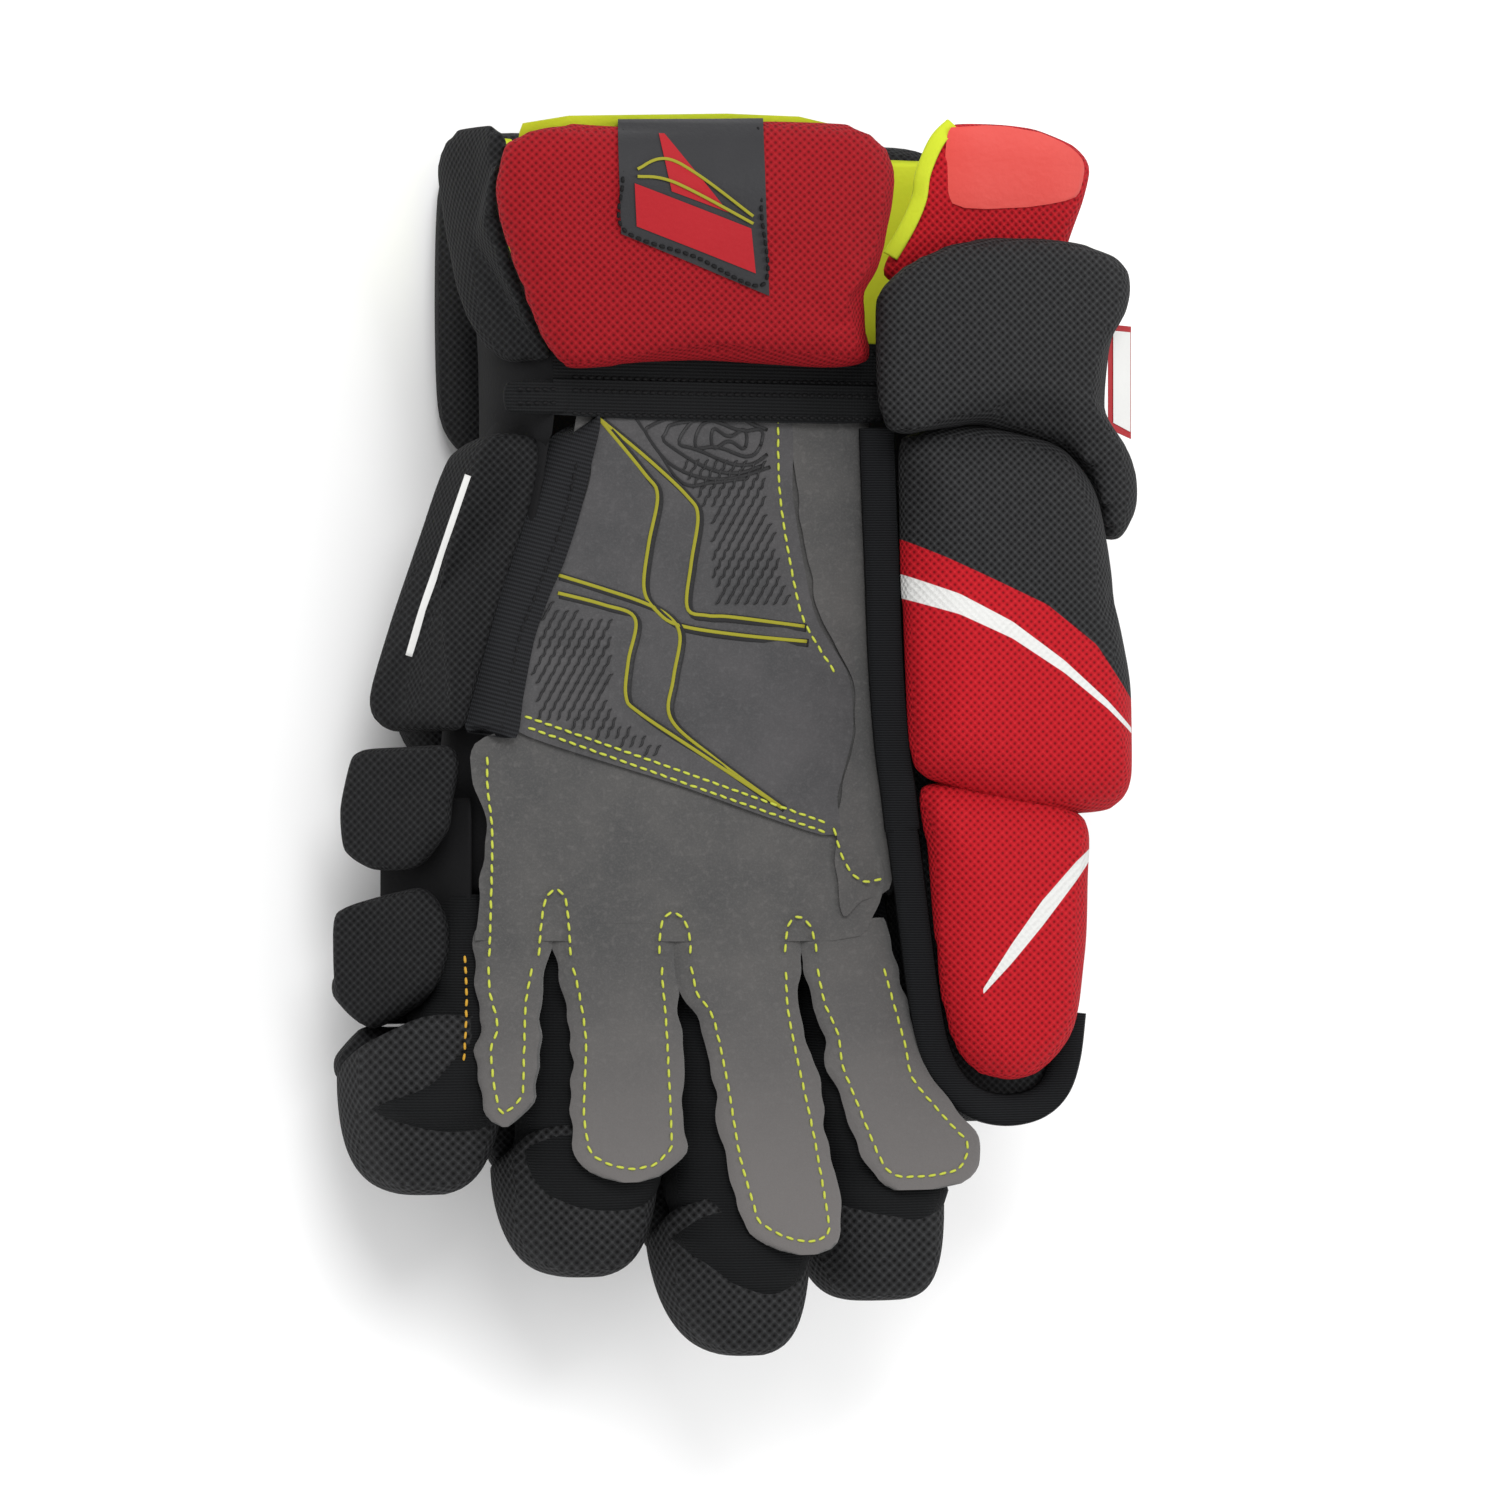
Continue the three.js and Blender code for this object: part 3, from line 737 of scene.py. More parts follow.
stitch("hand", [(9, 72), (9.5, 53), (13, 32), (15.5, 24), (22, 13.4)], "lime", height=on_overlay, pitch=2.6)
stitch("hand", [(-47.5, 3.7), (-14, -8.2), (20, -20.4)], "lime", height=on_overlay, pitch=2.6)
stitch("hand", [(-46.8, 1.2), (-14, -10.6), (20, -22.6)], "lime", height=on_overlay, pitch=2.6)
PRINT_LINES = {
    "a": [(-31, 70), (-21, 58), (-18, 53), (-20, 42), (-21, 32), (-18, 27), (-13, 24), (0, 22), (15.5, 20.6)],
    "b": [(-31, 70), (-20, 61), (-11.4, 53), (-9, 48.5), (-10.5, 38), (-11.4, 28), (-7, 26.3), (-1.4, 26),
          (15, 24)],
    "c": [(-40, 35), (-30, 32), (-21, 29), (-15.5, 26), (-13, 21.5), (-14.5, 12), (-15, 3), (-5, -6),
          (10, -17)],
    "d": [(-40, 31), (-30, 28.5), (-23, 25.5), (-24.5, 16), (-25, 8), (-22, 4.4), (-8, -5), (10, -17)],
}
for name, line in PRINT_LINES.items():
    points = laid(line, over(on_overlay, -0.05))
    tape(f"palm_print_{name}_dark", [(u + 0.4, y - 0.4, z) for u, y, z in points], 1.9, 0.12, GRIP_MARK,
        "hand")
    tape(f"palm_print_{name}", [(u, y, z + 0.14) for u, y, z in points], 0.8, 0.14, PRINT, "hand")


SLASH_SECTION = ((-1, -0.1), (-0.6, 0.22), (0.6, 0.22), (1, -0.1))
RIGHT_FIELD = [(-20, 71), (6, 71), (7, 53), (11, 33), (13, 29), (-6, 30), (-7, 50), (-12, 57)]
LEFT_FIELD = [(-44, 29), (-27, 24), (-28, 8), (-26, 2), (-14, -5), (-20, -5), (-45, 4), (-46, 14)]


def grip_marks():
    """Short raised slashes stamped in rows on the palm patch."""
    bm = bmesh.new()

    def slash(u, y, angle, long, wide):
        rings = []
        for k in range(7):
            t = k / 6 - 0.5
            bend = 0.8 * math.sin(t * math.pi * 2) * long * 0.09
            cu = u + math.cos(angle) * t * long - math.sin(angle) * bend
            cy = y + math.sin(angle) * t * long + math.cos(angle) * bend
            w = wide * (1 - (2 * abs(t)) ** 3 * 0.75) / 2
            du, dy = -math.sin(angle) * w, math.cos(angle) * w
            z = on_overlay(cu, cy)
            rings.append([bm.verts.new(at(cu + du * s, cy + dy * s, z + h)) for s, h in SLASH_SECTION])
        for r, s in zip(rings, rings[1:]):
            for i in range(3):
                bm.faces.new((r[i], r[i + 1], s[i + 1], s[i]))

    def inside(field, u, y):
        edge = span(field, y)
        return edge and edge[0] + 1 < u < edge[1] - 1

    for row in range(40):
        y = 60 - row * 2.0
        for column in range(34):
            u = -46 + column * 2.15 + (row % 2) * 1.08
            if inside(RIGHT_FIELD, u, y) or inside(LEFT_FIELD, u, y):
                slash(u, y, math.radians(56 + 9 * math.sin(row * 0.7)), 3.0, 0.62)
    obj = finish_mesh("palm_grip_marks", bm, GRIP_MARK, "hand")


grip_marks()
for k in range(6):  # wavy rings near the wrist, cut off at the overlay's edge
    radius = 3.2 + 2.9 * k
    kept = []
    for j in range(-1, 18):
        a = math.radians(20 * j)
        u = -2 + radius * 1.25 * math.cos(a)
        y = 66 + radius * 0.55 * math.sin(a) + 1.2 * math.sin(a * 3 + k)
        if y < 71.5 and -24 + (71 - y) * 0.7 < u < 8.5:
            kept.append((u, y, on_overlay(u, y) + 0.05))
    if len(kept) > 3:
        tape(f"palm_wave_{k}", kept, 0.75, 0.12, GRIP_MARK, "hand", count=50)

# The suede strip beside the thumb, turning down into the gap.
STRIP_EDGE = [(12.5, 76), (28, 76.2), (29, 52), (30, 30), (30.5, 12), (32, -4), (34, -18), (35, -30),
    (34, -36), (28, -38), (24, -42), (22.5, -36), (22, -22), (23.5, -12), (26.5, 0), (26, 12), (19.5, 25),
    (17, 33), (13.8, 53)]


def side_height(u, y):
    return palm_height(u, y) + 0.9 - 0.05 * max(0, u - 22) ** 1.3


side_strip = sliced("thumb_side_suede", STRIP_EDGE, side_height, 1.2, SUEDE, "hand", "thumb_side_palm",
    wave=0.3, columns=20, step=1.3, count=240, ripple=0.8, rim=EDGE)
cut_from(STRIP_EDGE)
stitch("hand", [(21.5, -21), (24, -29), (28, -33.5), (33, -33)], "lime", height=over(palm_height, 1.2))

# Webbing strap over the outer edge of the palm.
STRAP_EDGE = [(-42, 65.5), (-46, 56), (-50, 43), (-54, 30), (-56.5, 20), (-60.5, 1), (-55, -0.5),
    (-49, -1.2), (-47.5, 8), (-45, 21), (-41.5, 31), (-38.5, 38), (-35, 49), (-32.5, 60), (-30.8, 71)]


def strap_height(u, y):
    """Level with the palm at its inner edge, turning down over the hand's outer edge."""
    right = span(STRAP_EDGE, y)
    share = clamp((right[1] - u) / max(right[1] - right[0], 1)) if right else 0
    return palm_height(u, y) + 2.4 - 5.5 * share ** 2


strap = sliced("palm_edge_strap", STRAP_EDGE, strap_height, 1.3, STRAP, "hand", "palm_strap",
    columns=18, step=1.5)
cut_from(STRAP_EDGE)
stitch("hand", [(-34.2, 69), (-36, 59), (-38.3, 49), (-42, 38), (-45, 30), (-48.6, 20), (-52.3, 0.5)],
    "dark", height=strap_height, pitch=2.4, length=1.6)

# ---------------------------------------------------------------- wrist
def wrist_height(u, y):
    return PALM + 2.2 + (y - 78) * 0.12


for name, low, high, lift in (("upper", 77.8, 88, 0.0), ("lower", 69.8, 78.4, 0.7)):
    edge = [(-41, low + 0.6), (-20, low), (0, low + 0.4), (20, low), (36.5, low + 0.4), (37, high),
        (0, high - 0.3), (-41, high)]
    sliced(f"wrist_band_{name}_cloth", edge, over(wrist_height, lift), 1.5, BAND,
        "hand", f"wrist_band_{name}", columns=60, step=0.8, wave=0.35, smooth=False)
    for dy in (1.2, high - low - 2.4):
        stitch("hand", [(-37, low + dy), (-10, low + dy - 0.2), (15, low + dy), (33, low + dy)], "dark",
            height=over(over(wrist_height, lift), 0.1), pitch=1.9, length=1.3, width=0.35)
pad("wrist_tab_fold", [(-51, 71, 60.6), (-45, 70.5, 61.2), (-38, 71, 61.4), (-37, 74.6, 61.4),
    (-38, 78, 61.4), (-45, 78.3, 61.2), (-51, 77.5, 60.6), (-52, 74.6, 60.3)], SIGHT, 1, 1.9, BAND, "hand",
    "wrist_tab", edge=1.6, crown=0.1, rings=8, count=60, lumps=0.1)
for y in (73, 76):
    stitch("hand", [(-49, y, 63), (-44, y, 63), (-40, y + 0.2, 63)], "dark", pitch=1.7, length=1.2)

# ---------------------------------------------------------------- outer edge of the hand
OUTWARD = (-0.86, 0, 0.5)
ULNAR = [(-43.5, 62.5, 58), (-53, 66.5, 55), (-63.5, 62.5, 36), (-70.5, 45, 28), (-77, 26, 24),
    (-82, 8, 22), (-81, 2.5, 24), (-77, 0.3, 30), (-68, 0.2, 46), (-61.5, 0.8, 57), (-60, 5.5, 59),
    (-52, 33, 59)]
edge_pad = pad("outer_edge_pad", ULNAR, OUTWARD, 5, 5.5, BLACK, "hand", ["ulnar_panel", "ulnar_wall"],
    edge=5, crown=0.4, lumps=0.5)
on_edge_pad = top_of(edge_pad, lambda u, y: 45, 0.1)
BAR = ((-73, 17), (-70, 27), (-66.5, 37), (-63, 47), (-59.5, 57))
tape("edge_pad_bar", laid(BAR, on_edge_pad), 2.4, 0.3, WHITE, "hand", count=40)
SIDE_HIGH = [(-86, -6, 28), (-83, -3.8, 33), (-73, -3.2, 46), (-64.5, -3, 56), (-62.5, -7, 58),
    (-64, -15, 58), (-65, -22, 57), (-71.5, -30, 47), (-81.5, -30.5, 34), (-87.5, -26.5, 26),
    (-88.5, -17, 25)]
pad("side_pad_upper", SIDE_HIGH, OUTWARD, 5, 3.5, BLACK, "hand", "little_side_pad_upper",
    edge=3.2, crown=0.2, lumps=0.3)
SIDE_LOW = [(-90, -47, 28), (-89, -40, 30), (-81.5, -37, 36), (-70.5, -34.5, 49), (-67, -37.5, 54),
    (-65, -42, 56), (-64.8, -49, 56), (-67, -55.5, 54), (-71.5, -61, 48), (-81.5, -66, 36), (-89, -60, 28)]
pad("side_pad_lower", SIDE_LOW, OUTWARD, 5, 3.5, BLACK, "little", "little_side_pad_lower",
    edge=3.2, crown=0.2, lumps=0.3)

# ---------------------------------------------------------------- back of the hand
DOWN = (0, 0, -1)


def block(x0, x1, y0, y1, z, cut=9):
    """The outline of a box with cut corners, at one height."""
    return [(x0 + cut, y0, z), ((x0 * 2 + x1) / 3, y0, z), ((x0 + 2 * x1) / 3, y0, z), (x1 - cut, y0, z),
        (x1, y0 + cut, z), (x1, y1 - cut, z), (x1 - cut, y1, z), ((x0 + 2 * x1) / 3, y1, z),
        ((x0 * 2 + x1) / 3, y1, z), (x0 + cut, y1, z), (x0, y1 - cut, z), (x0, y0 + cut, z)]


for name, x0, x1, y0, y1 in (("knuckle", -63, 46.5, -39.5, -8), ("middle", -61, 81, -8, 25.8),
        ("wrist", -51, 85, 25.8, 60)):
    pad(f"back_roll_{name}", block(x0, x1, y0, y1, 14), DOWN, 12, 14, BLACK, "hand",
        f"backhand_roll_{name}", edge=11, crown=0.04, lumps=0.0, lean=False, count=140,
        rings=15)
pad("cuff_back", block(-49, 86, 60.5, 136.5, 9, 12), DOWN, 9, 9, BLACK, "hand", "cuff_back_pad",
    edge=8, crown=0.03, lumps=0.0, lean=False, count=140, rings=15)


def shell(name, rows, material, body, node=None, thick=1.6):
    """A sheet through rows of (x, y, z) points, thickened both ways."""
    bm = bmesh.new()
    grid = [[bm.verts.new(nat(*p)) for p in smooth_open(row, 40)] for row in rows]
    for r, s in zip(grid, grid[1:]):
        for i in range(len(r) - 1):
            bm.faces.new((r[i], r[i + 1], s[i + 1], s[i]))
    obj = finish_mesh(name, bm, material, None)
    modifier = obj.modifiers.new("Thick", "SOLIDIFY")
    modifier.thickness = thick / 1000
    modifier.offset = 0
    smooth = obj.modifiers.new("Smooth", "SUBSURF")
    smooth.levels = 1
    apply_modifiers(obj)
    if body:
        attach(obj, body)
    return declare(obj, node)


def sections(*cuts):
    """The inside of the hand across each y: down the outer side, under, and up the thumb side."""
    rows = []
    for y, left, right, low, high in cuts:
        half = (low + high) / 2
        down = [(left + 4, high), (left, high - 9), (left - 1, half), (left + 6, low + 2), (left + 20, low)]
        up = [(right - 20, low), (right - 6, low + 2), (right + 1, half), (right, high - 9),
            (right - 4, high)]
        rows.append([(x, y, z) for x, z in (*down, ((left + right) / 2, low), *up)])
    return rows


shell("hand_lining", sections((-38, -62, 45, 25.5, 57.5), (-14, -63, 46, 25.5, 57.5),
    (-6, -63, 84, 25.5, 58), (24, -60, 85, 25.5, 58), (56, -52, 85, 24, 60), (90, -48, 84, 20, 61)), CLOTH,
    "hand", ["hand_liner", "web_gusset", "radial_wall"])
shell("cuff_lining_back", sections((89, -48, 82, 20.5, 45), (100, -48, 82, 18.8, 44),
    (120, -50, 82, 18.2, 43), (134, -50, 82, 18, 42)), LINING, "hand", "cuff_radial_wall",
    thick=1.4)
shell("cuff_side_cloth", sections((62, -51, 87, 19, 62), (84, -50.5, 87, 19, 63), (104, -52, 87, 17.5, 62)),
    CLOTH, "hand", thick=1.2)
# Behind the gap between the little finger's two side pads.

side_cloth = shell("little_side_cloth", [[(-64, y, 54.5), (-67.5, y, 47), (-70.5, y, 39), (-73, y, 31),
    (-73.5, y, 28)] for y in (-14, -26, -34, -41, -47)], CLOTH, None, thick=1.0)
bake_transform(side_cloth)

# ---------------------------------------------------------------- cuff
def flare(u, y):
    """The cuff's slope, rising from the wrist."""
    return PALM + 6 + (y - 84) * 0.3


CUFF_UP = (-0.25, -0.25, 0.93)
RED_PAD = [(-51, 129), (-42, 133.5), (-26, 134), (6, 136), (24, 136), (31, 133.5), (34, 129.5), (35, 123),
    (32.2, 107), (28.9, 99), (28.9, 90), (28.6, 83.5), (18.5, 82), (-9, 82.4), (-25, 81.6), (-31.5, 81),
    (-39.6, 81.4), (-45, 90), (-52, 110), (-53.7, 120)]
# The cuff pad's knit is darkened: partly a darker red cloth, partly painted shade.
palm_cuff = pad("palm_cuff", laid(RED_PAD, flare), CUFF_UP, 2, 10, CUFF_RED_SHADED, "palm_cuff", "cuff_palm_pad",
    edge=8, crown=0.28, count=200, rings=18, lumps=0.7, puff=2.5)
LINING_EDGE = [(-48, 131), (-45, 134.6), (-26, 136.4), (6, 137.6), (20, 136.6), (26, 132), (25, 108),
    (23, 87), (-30, 85.5), (-39, 83), (-43, 92), (-47.5, 115)]
cuff_lining = sliced("palm_cuff_lining", LINING_EDGE, over(flare, -2.2), 1.2, LINING, None,
    "cuff_palm_lining", columns=40, step=2)
cut_from(LINING_EDGE)
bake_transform(cuff_lining)

on_cuff = top_of(palm_cuff, over(flare, 4), 0.5)


def label_height(u, y):
    """Just over the cuff pad, which the label follows round its upper edge."""
    return on_cuff(u, min(y, 133.0)) - 3.0 * clamp((y - 132.0) / 4) ** 2


LABEL_CORNERS = [(-26.4, 135), (5.6, 136.4), (7, 97), (-25.6, 109.5)]
quad_patch("cuff_patch", LABEL_CORNERS, label_height, 2.0, LABEL, "palm_cuff", "cuff_label")
quad_patch("cuff_patch_stripe", [(-22.6, 120.5), (3, 111.5), (4, 101.8), (-22.2, 111.2)],
    over(label_height, 0.25), 0.4, PRINT_RED, "palm_cuff", None, along=8)
quad_patch("cuff_patch_peak", [(-17.4, 132), (-16.2, 132), (-2, 114.8), (-14.5, 119)],
    over(label_height, 0.22), 0.4, PRINT_RED, "palm_cuff", None)
for dy in (0.0, 1.6):
    line = smooth_open([(-22, 122 + dy), (-14, 121 + dy * 3), (3.4, 112.6 + dy)], 24)
    tape(f"cuff_patch_line_{int(dy)}", laid(line, over(label_height, 0.4)), 0.7, 0.15, PRINT, "palm_cuff")
stitch("palm_cuff", [(-25.3, 133), (-25.2, 121), (-25, 110.4), (-9.5, 105), (5.7, 99.4), (5.2, 116),
    (4.4, 134.6)], "dark", height=over(label_height, 0.15), pitch=2.0, length=1.4, width=0.4)

ULNAR_CUFF = [(-66.5, 126, 38), (-65, 131.5, 44), (-62, 134, 50), (-56, 134.4, 61.7), (-52, 133.2, 71.4),
    (-51, 129, 74.3), (-53.5, 120, 73.4), (-51.8, 110, 71.5), (-45, 90, 65.8), (-41, 82.5, 62),
    (-46, 81.6, 56), (-50, 81.8, 50), (-56, 86, 42), (-60.5, 95, 38), (-63, 104.5, 37)]
pad("outer_cuff", ULNAR_CUFF, OUTWARD, 2.5, 4.5, BLACK, "outer_cuff", "cuff_ulnar_pad",
    edge=4, crown=0.3, lumps=0.5, puff=1.2)

THUMB_UP = (-0.15, 0, 0.99)


def roll_height(u, y):
    return PALM + 14.5 - (u - 29) * 0.25


CUFF_ROLL = [(31, 98), (33.6, 102), (39, 106.5), (48, 111), (56, 112.7), (64, 113.3), (74, 113.2),
    (84, 111), (88.5, 108), (89.6, 104), (88.7, 98), (85.6, 92), (84.3, 84), (83.7, 74), (86, 69),
    (89, 65), (91.2, 59), (91.4, 52), (89, 46), (86, 43.5), (84, 45), (82, 53), (79, 58), (71, 64.5),
    (54, 69), (42, 68), (34, 67.5), (31.4, 74), (30.8, 86)]
pad("thumb_cuff_roll", laid(CUFF_ROLL, roll_height), THUMB_UP, 5, 11, SOFT_BLACK, "hand", "cuff_roll",
    edge=9, crown=0.35, count=220, rings=18, lumps=0.9, puff=2.5)


def tag_height(u, y):
    """Beside the outer edge of the cuff roll, falling away from the palm."""
    return PALM + 3.0 - 1.2 * (u - 85)


quad_patch("side_tag", [(85, 94), (90.8, 94), (90.8, 68), (85, 70)], tag_height, 1.2, PRINT_RED, "hand",
    "cuff_roll_tag", across=12)
quad_patch("side_tag_face", [(86.3, 92.6), (90.6, 92.6), (90.6, 69.6), (86.3, 71.4)], over(tag_height, 0.3),
    0.4, WHITE, "hand", None, across=10)


def flap_height(u, y):
    return PALM - 0.5 - 0.25 * (u - 33) + 0.3 * (y - 105)


FLAP = [(34, 103), (39.5, 117), (40.6, 125), (44.6, 135), (49, 138.2), (59.4, 138.8), (68, 138.2),
    (76.5, 135.4), (80, 132.5), (81, 129.5), (79.5, 123), (76, 113), (74, 103)]
pad("thumb_flap", laid(FLAP, flap_height), CUFF_UP, 2, 5, RED, "thumb_cuff_flap", "cuff_flap",
    edge=4.5, crown=0.3, lumps=0.4)
PATCH = [(48, 137), (54, 138), (60, 138.2), (68, 137.5), (75.5, 134.8), (79, 132), (79.6, 129),
    (77.8, 123.4), (70, 121), (60, 119.6), (49, 120), (47, 129)]


def patch_height(u, y):
    """Over the flap's pad, rounded off toward its sides and its far edge."""
    sides, end = clamp((abs(u - 63) - 8) / 9), clamp((y - 131) / 8)
    return flap_height(u, y) + 5.6 - 1.8 * sides ** 2 - 1.2 * end ** 2


sliced("flap_patch", PATCH, patch_height, 1.2, CORAL, "thumb_cuff_flap", "cuff_flap_patch",
    columns=30, step=1)
tape("flap_lining", [(34.5, 108, flap_height(34, 108) + 2), (38.5, 115, flap_height(38, 115) + 2.4),
    (41, 121, flap_height(41, 121) + 2.6), (42, 127, flap_height(42, 127) + 2.6),
    (45, 134, flap_height(45, 134) + 2.4), (48.5, 137.8, flap_height(48, 138) + 1.6)], 3.6, 1.0, LINING,
    "thumb_cuff_flap", "cuff_flap_lining")

# ---------------------------------------------------------------- thumb
tape("gap_strap", [(29, -30, 50), (31, -44, 46), (34, -58, 44), (38, -70, 44)], 7.0, 1.2, STRAP, "hand",
    count=40)
THUMB_ROLL = [(36.4, 66), (36.2, 50), (36.5, 30), (38, 3.5), (39.5, -8), (46, -12), (55, -15.6), (64, -18),
    (74, -18.6), (83, -18), (86.5, -16), (88.8, -12), (89, 8), (88, 16), (85, 31), (83, 45), (80, 57),
    (72, 66), (54, 70), (42, 69)]
BOUNDARY = [(20, 51), (36, 44), (47, 39.5), (57, 35), (70, 29), (81.5, 20), (89, 9), (100, -6)]
STRIPE = [(34, 34, 2.8), (50, 29, 2.3), (62, 23.2, 1.9), (74, 15, 1.4), (84, 6.5, 0.9), (90, 0.5, 0.6)]
SLASH = [(55.5, -58.5, 0.6), (62, -50, 2.2), (69, -41, 2.9), (77, -31.5, 2.2), (81, -27, 1.2)]


def along(line, u):
    """The values beside u on a line of tuples that runs left to right."""
    for a, b in zip(line, line[1:]):
        if a[0] <= u < b[0]:
            share = (u - a[0]) / (b[0] - a[0])
            return [p + (q - p) * share for p, q in zip(a[1:], b[1:])]
    return None


def tinted(border, marks):
    """Gives a pad's points how far they are below the colour border and from a white mark's line."""
    def run(obj):
        split = obj.data.attributes.new("split", "FLOAT", "POINT")
        mark = obj.data.attributes.new("mark", "FLOAT", "POINT")
        off = obj.data.attributes.new("mark_offset", "FLOAT", "POINT")
        for i, v in enumerate(obj.data.vertices):
            u, y = across_of(v.co), v.co.y * 1000 + CENTRE[1]
            edge = along(border, u)
            split.data[i].value = edge[0] - y if edge else 5.0
            found = [along(line, u) for line in marks]
            middle, half = next((f for f in found if f), (y, -5.0))
            off.data[i].value = y - middle
            mark.data[i].value = half
    return run


pad("thumb_roll_pad", [(u, y, PALM + 6 - (u - 40) * 0.05) for u, y in THUMB_ROLL], THUMB_UP, 4, 17,
    TWO_TONE, "hand", "thumb_roll", edge=16, crown=0.22, count=260, rings=40, lumps=1.0,
    puff=3.0, tint=tinted(BOUNDARY, [STRIPE]))

LOWER_PAD = [(41, -12), (42, -24), (43.4, -40), (45, -56), (48, -69), (51.5, -75), (56, -78), (62, -79.5),
    (67, -78), (71.5, -74.6), (75.5, -69), (77.2, -62), (79, -47), (79.3, -32), (79, -20), (70, -14),
    (55, -11)]
pad("thumb_tip_pad", [(u, y, PALM + 4.5) for u, y in LOWER_PAD], THUMB_UP, 3, 13, MARKED_RED, "thumb",
    ["thumb_lower_pad", "thumb_lock"], edge=11, crown=0.3, count=240, rings=36, lumps=0.8,
    puff=2.5, tint=tinted([(-200, 900), (200, 900)], [SLASH]))
tape("thumb_edge_upper", [(31.4, 69, 63), (32, 52, 63.2), (32.6, 38, 63.4), (33.4, 17, 63.4),
    (34.8, -2, 63.2), (36.4, -14, 62.8), (37.3, -22, 62.5)], 8.2, 2.4, BINDING, "hand",
    "thumb_binding_hand")
tape("thumb_edge_lower", [(36.9, -20, 62.3), (38.4, -31, 62.2), (40.3, -46, 62), (42.2, -60, 61.8),
    (44.6, -72, 61.4), (48.6, -80, 61), (54, -84.4, 60.6), (61, -86.2, 60.4), (68, -85, 60.4),
    (72.6, -81, 60.5), (75, -74, 60.6), (76.2, -64, 60.8)], 7.4, 2.6, BINDING, "thumb",
    "thumb_binding_tip", count=140)

# ---------------------------------------------------------------- thumb body
def oval(x0, x1, z0, z1, y, count=40, power=0.6):
    """A rounded box of points across the glove; a lower power is squarer."""
    ring = []
    for i in range(count):
        a = 2 * math.pi * i / count
        c, s = math.cos(a), math.sin(a)
        ring.append(nat((x0 + x1) / 2 + (x1 - x0) / 2 * math.copysign(abs(c) ** power, c), y,
            (z0 + z1) / 2 + (z1 - z0) / 2 * math.copysign(abs(s) ** power, s)))
    return ring


thumb_rings = [oval(46.5, 87, 32, 62, y) for y in range(-8, -62, -3)]
for share, y in ((1, -64), (1, -69), (0.99, -74), (0.97, -78), (0.93, -81.5), (0.85, -84.5), (0.7, -87),
        (0.35, -89)):
    thumb_rings.append(oval(66 - 20 * share, 66 + 21 * share, 47 - 15 * share, 47 + 14.5 * share, y))
thumb_body = rings_to_mesh("thumb_stall_cloth", thumb_rings, BLACK, None)
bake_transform(thumb_body)
declare(thumb_body, ["thumb_sleeve", "thumb_tip_cap", "thumb_grip"])

# ---------------------------------------------------------------- fingers
# Each finger: the sides of its slab in x, its tip, how far the cap's rim slants, how far the sleeve is drawn
# in on the thumb side (waist) and the outer side, how far its tip curls up and widens, and its strip.
FINGERS = {
    "index": dict(
        left=19.8, right=46.5, tip=-129, slant=10, waist=4.5, outer=0, rise=12, flare=9,
        strip=[(15, -43), (28, -43), (33.5, -42), (36, -52), (41, -70), (42.5, -77), (50, -86), (54.6, -91),
               (55.3, -95), (54, -99), (51, -102), (44, -103.4), (36, -103.4), (31.5, -101), (28.5, -96),
               (24, -85), (20.5, -76), (19.5, -69), (16.5, -62), (14.6, -52)]),
    "middle": dict(
        left=-14.6, right=19.6, tip=-140, slant=17, waist=0, outer=0, rise=12, flare=0,
        strip=[(-14, -43), (0, -43), (14, -43), (14, -54), (14.4, -62), (16.5, -73), (20, -89), (23, -106),
               (23.6, -112), (21.5, -115.6), (16, -117.2), (9, -115.6), (2.4, -111.4), (0, -105),
               (-2.8, -95), (-5.5, -79), (-8.6, -65), (-12, -60), (-13.8, -52)]),
    "ring": dict(
        left=-50, right=-15, tip=-122, slant=15, waist=0, outer=0, rise=9, flare=0,
        strip=[(-40.4, -43), (-28, -43), (-14.4, -43), (-13.8, -54), (-12.8, -66), (-11.7, -88), (-12, -94),
               (-17, -99), (-24, -100.3), (-31, -98.4), (-35.6, -94.5), (-37.4, -85), (-37, -69),
               (-38.4, -59), (-40.4, -50)]),
    "little": dict(
        left=-86, right=-50.6, tip=-103, slant=20, waist=0, outer=13, rise=6, flare=0,
        strip=[(-58, -43), (-50, -43), (-41, -43), (-42, -50), (-43.8, -60), (-44.2, -72), (-44.6, -81),
               (-47.4, -85), (-51, -87.4), (-54.6, -86.4), (-56.8, -80), (-57.8, -70), (-56.4, -65),
               (-58, -58), (-58.4, -50)]),
}


def finger_rise(f, y):
    """How far a finger has curled up at y."""
    reach = max(0.0, KNUCKLE - y) / 70
    return f["rise"] * reach * reach


def finger_ring(f, y, x0, x1, z0, z1, count=44, power=0.62):
    """A ring across a finger, lifted and widened as the finger is there."""
    lift = finger_rise(f, y)
    wide = f["flare"] * clamp((-84 - y) / 14)
    return oval(x0 + 0.35 * wide, x1 + wide, z0 + lift, z1 + lift, y, count, power)


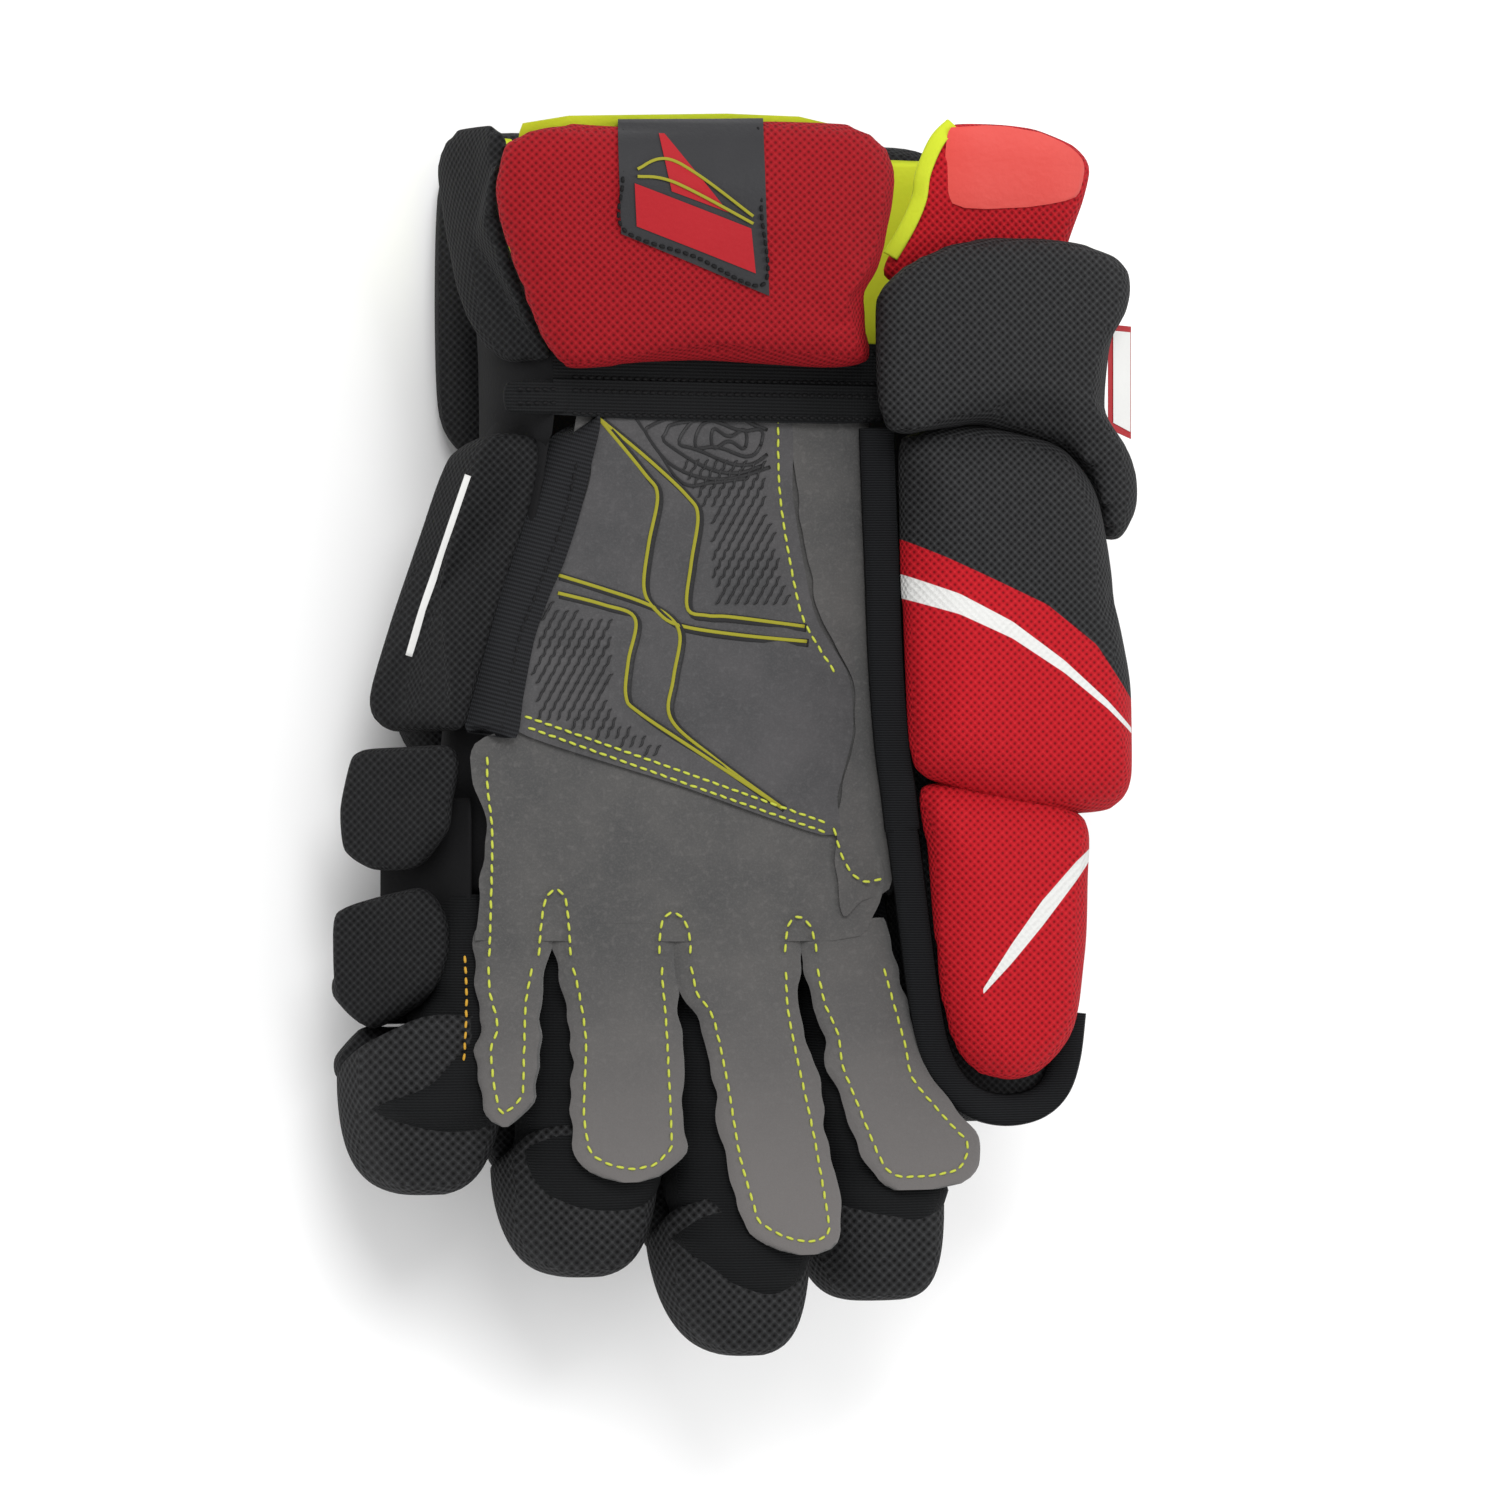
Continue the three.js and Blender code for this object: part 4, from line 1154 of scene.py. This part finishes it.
for name, f in FINGERS.items():
    left, right, tip = f["left"], f["right"], f["tip"]
    cap_start = tip + 20
    rings = []
    for k in range(30):
        y = -36.0 - (-36.0 - (cap_start - 6)) * k / 29
        slack = 0.9 * noise.noise(Vector((left * 0.1, y * 0.16, 3.0))) + 0.5 * math.sin(y * 0.62)
        shrink = 1.2 + slack * clamp((-48 - y) / 10) + 9 * clamp((k - 25) / 4) ** 2
        waist = f["waist"] * clamp((y + 95) / 14)
        shrink += 5 * clamp((y + 45) / 9)
        outer = f["outer"] * clamp((y + 84) / 14)
        rings.append(finger_ring(f, y, left + shrink + outer, right - shrink - waist, 30 + shrink,
            PALM - 1.6 - shrink * 0.6, power=0.78))
    body = rings_to_mesh(f"{name}_stall_cloth", rings, GUSSET, None)
    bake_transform(body)
    declare(body, f"{name}_sleeve")

    # The mesh cap round the fingertip. Its rim slants back toward the palm side.
    cap = []
    middle_x, half_x = (left + right) / 2, (right - left) / 2
    for k in range(-3, 25):
        t = max(0, k) / 24
        forward = 20 * math.sin(t * math.pi / 2)
        share = math.cos(t * math.pi / 2 * 0.95) ** 0.5
        if k < 0:
            forward = -0.4 * (k + 3) + 1.4
            share = 0.86 + 0.035 * (k + 3)
        low, high = 17, PALM - 2.2
        middle_z = (low + high) / 2 - 4.0 * t
        half_z = (high - low) / 2
        ring = finger_ring(f, cap_start - forward, middle_x - half_x * share, middle_x + half_x * share,
            middle_z - half_z * share, middle_z + half_z * share, 64, 0.76)
        for p in ring:
            up = clamp((p.z * 1000 - low - finger_rise(f, cap_start)) / (high - low))
            p.y += (f["slant"] * up ** 0.8 + rumple(p, 1.5, 6.0)) * (1 - t) / 1000
            p.z += (finger_rise(f, p.y * 1000) - finger_rise(f, cap_start - forward)) * up / 1000
            p.z += rumple(p, 0.5, 5.0, 9.0) * (1 - up) / 1000
        cap.append(ring)
    tip_cap = rings_to_mesh(f"{name}_cap", cap, COARSE, name)
    declare(tip_cap, f"{name}_tip_cap")

    # Two rolls on the back of the finger.
    start, end = KNUCKLE - 6.5, cap_start + 0.5
    half = (start + end) / 2
    for i, (y1, y0) in enumerate(((start, half + 0.3), (half - 0.3, end))):
        lift = (finger_rise(f, y0) + finger_rise(f, y1)) / 2
        tilt = (finger_rise(f, y0) - finger_rise(f, y1)) / (y1 - y0)
        wide = f["flare"] * clamp((-84 - (y0 + y1) / 2) / 14)
        flat = block(left + 0.8, right - 0.8 + wide, y0, y1, 31, 6)
        outline = [(x, y, z + lift + (y - (y0 + y1) / 2) * -tilt) for x, y, z in flat]
        pad(f"{name}_roll_{i + 1}", outline, (0, -tilt, -1), 3, 13.5, BLACK, name,
            f"{name}_back_roll_{i + 1}", edge=10, crown=0.1, lumps=0.5, lean=False, count=90,
            rings=13)

    def strip_height(u, y, f=f):
        near = clamp((y + 70) / 25)
        level = palm_height(u, max(y, -60)) * near + PALM * (1 - near)
        return level + finger_rise(f, y) + 0.05 + 0.45 * (1 - near)

    strip = sliced(f"{name}_suede", f["strip"], strip_height, 1.5, SUEDE, None, f"{name}_palm",
        columns=26, step=1.3, count=220, wave=0.9, ripple=1.3, rim=EDGE, curl=1.5)
    f["height"] = top_of(strip, strip_height, 0.05)
    cut_from(f["strip"])
    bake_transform(strip)


def inset(outline, distance):
    """An outline moved inwards toward its own middle line, for a run of stitches."""
    edge = smooth_closed(outline, 80)
    out = []
    for i, p in enumerate(edge):
        a, b = edge[i - 1], edge[(i + 1) % len(edge)]
        dx, dy = b[0] - a[0], b[1] - a[1]
        size = math.hypot(dx, dy) or 1
        out.append((p[0] + dy / size * distance, p[1] - dx / size * distance))
    return out


for name, f in FINGERS.items():
    line = [p for p in inset(f["strip"], 3.2) if p[1] < -51]
    first = max(range(len(line)), key=lambda i: math.dist(line[i], line[i - 1]))
    line = line[first:] + line[:first]
    stitch(name, line, "lime", height=over(f["height"], 0.1), pitch=2.8)

SLOT_SEAMS = [
    [(-44.2, -50), (-43.6, -42), (-42.6, -37), (-40.5, -35), (-38.4, -37), (-37.6, -43), (-37.2, -50)],
    [(-17.6, -50), (-17.4, -45), (-16.6, -41.6), (-14.6, -40.4), (-12.4, -41.6), (-11, -45), (-10.6, -50)],
    [(10.6, -50), (10.8, -46.5), (11.6, -43), (13.5, -41.6), (15.8, -43), (17.2, -46.5), (17.8, -50)],
    [(-55, -50), (-54.6, -36), (-54.4, -22), (-55.4, -12), (-55.4, -5)],
]
for points in SLOT_SEAMS:
    stitch("hand", points, "lime", height=lambda u, y: palm_height(u, max(y, -46)) + 0.7, pitch=2.6)
SEAM = [(-60.4, -49), (-60, -58), (-60.2, -66), (-60.6, -73)]
stitch("little", laid(SEAM, lambda u, y: PALM - 1.2), "amber", pitch=2.4, length=1.6)

make_stitches({"lime": LIME, "amber": AMBER, "dark": DARK})
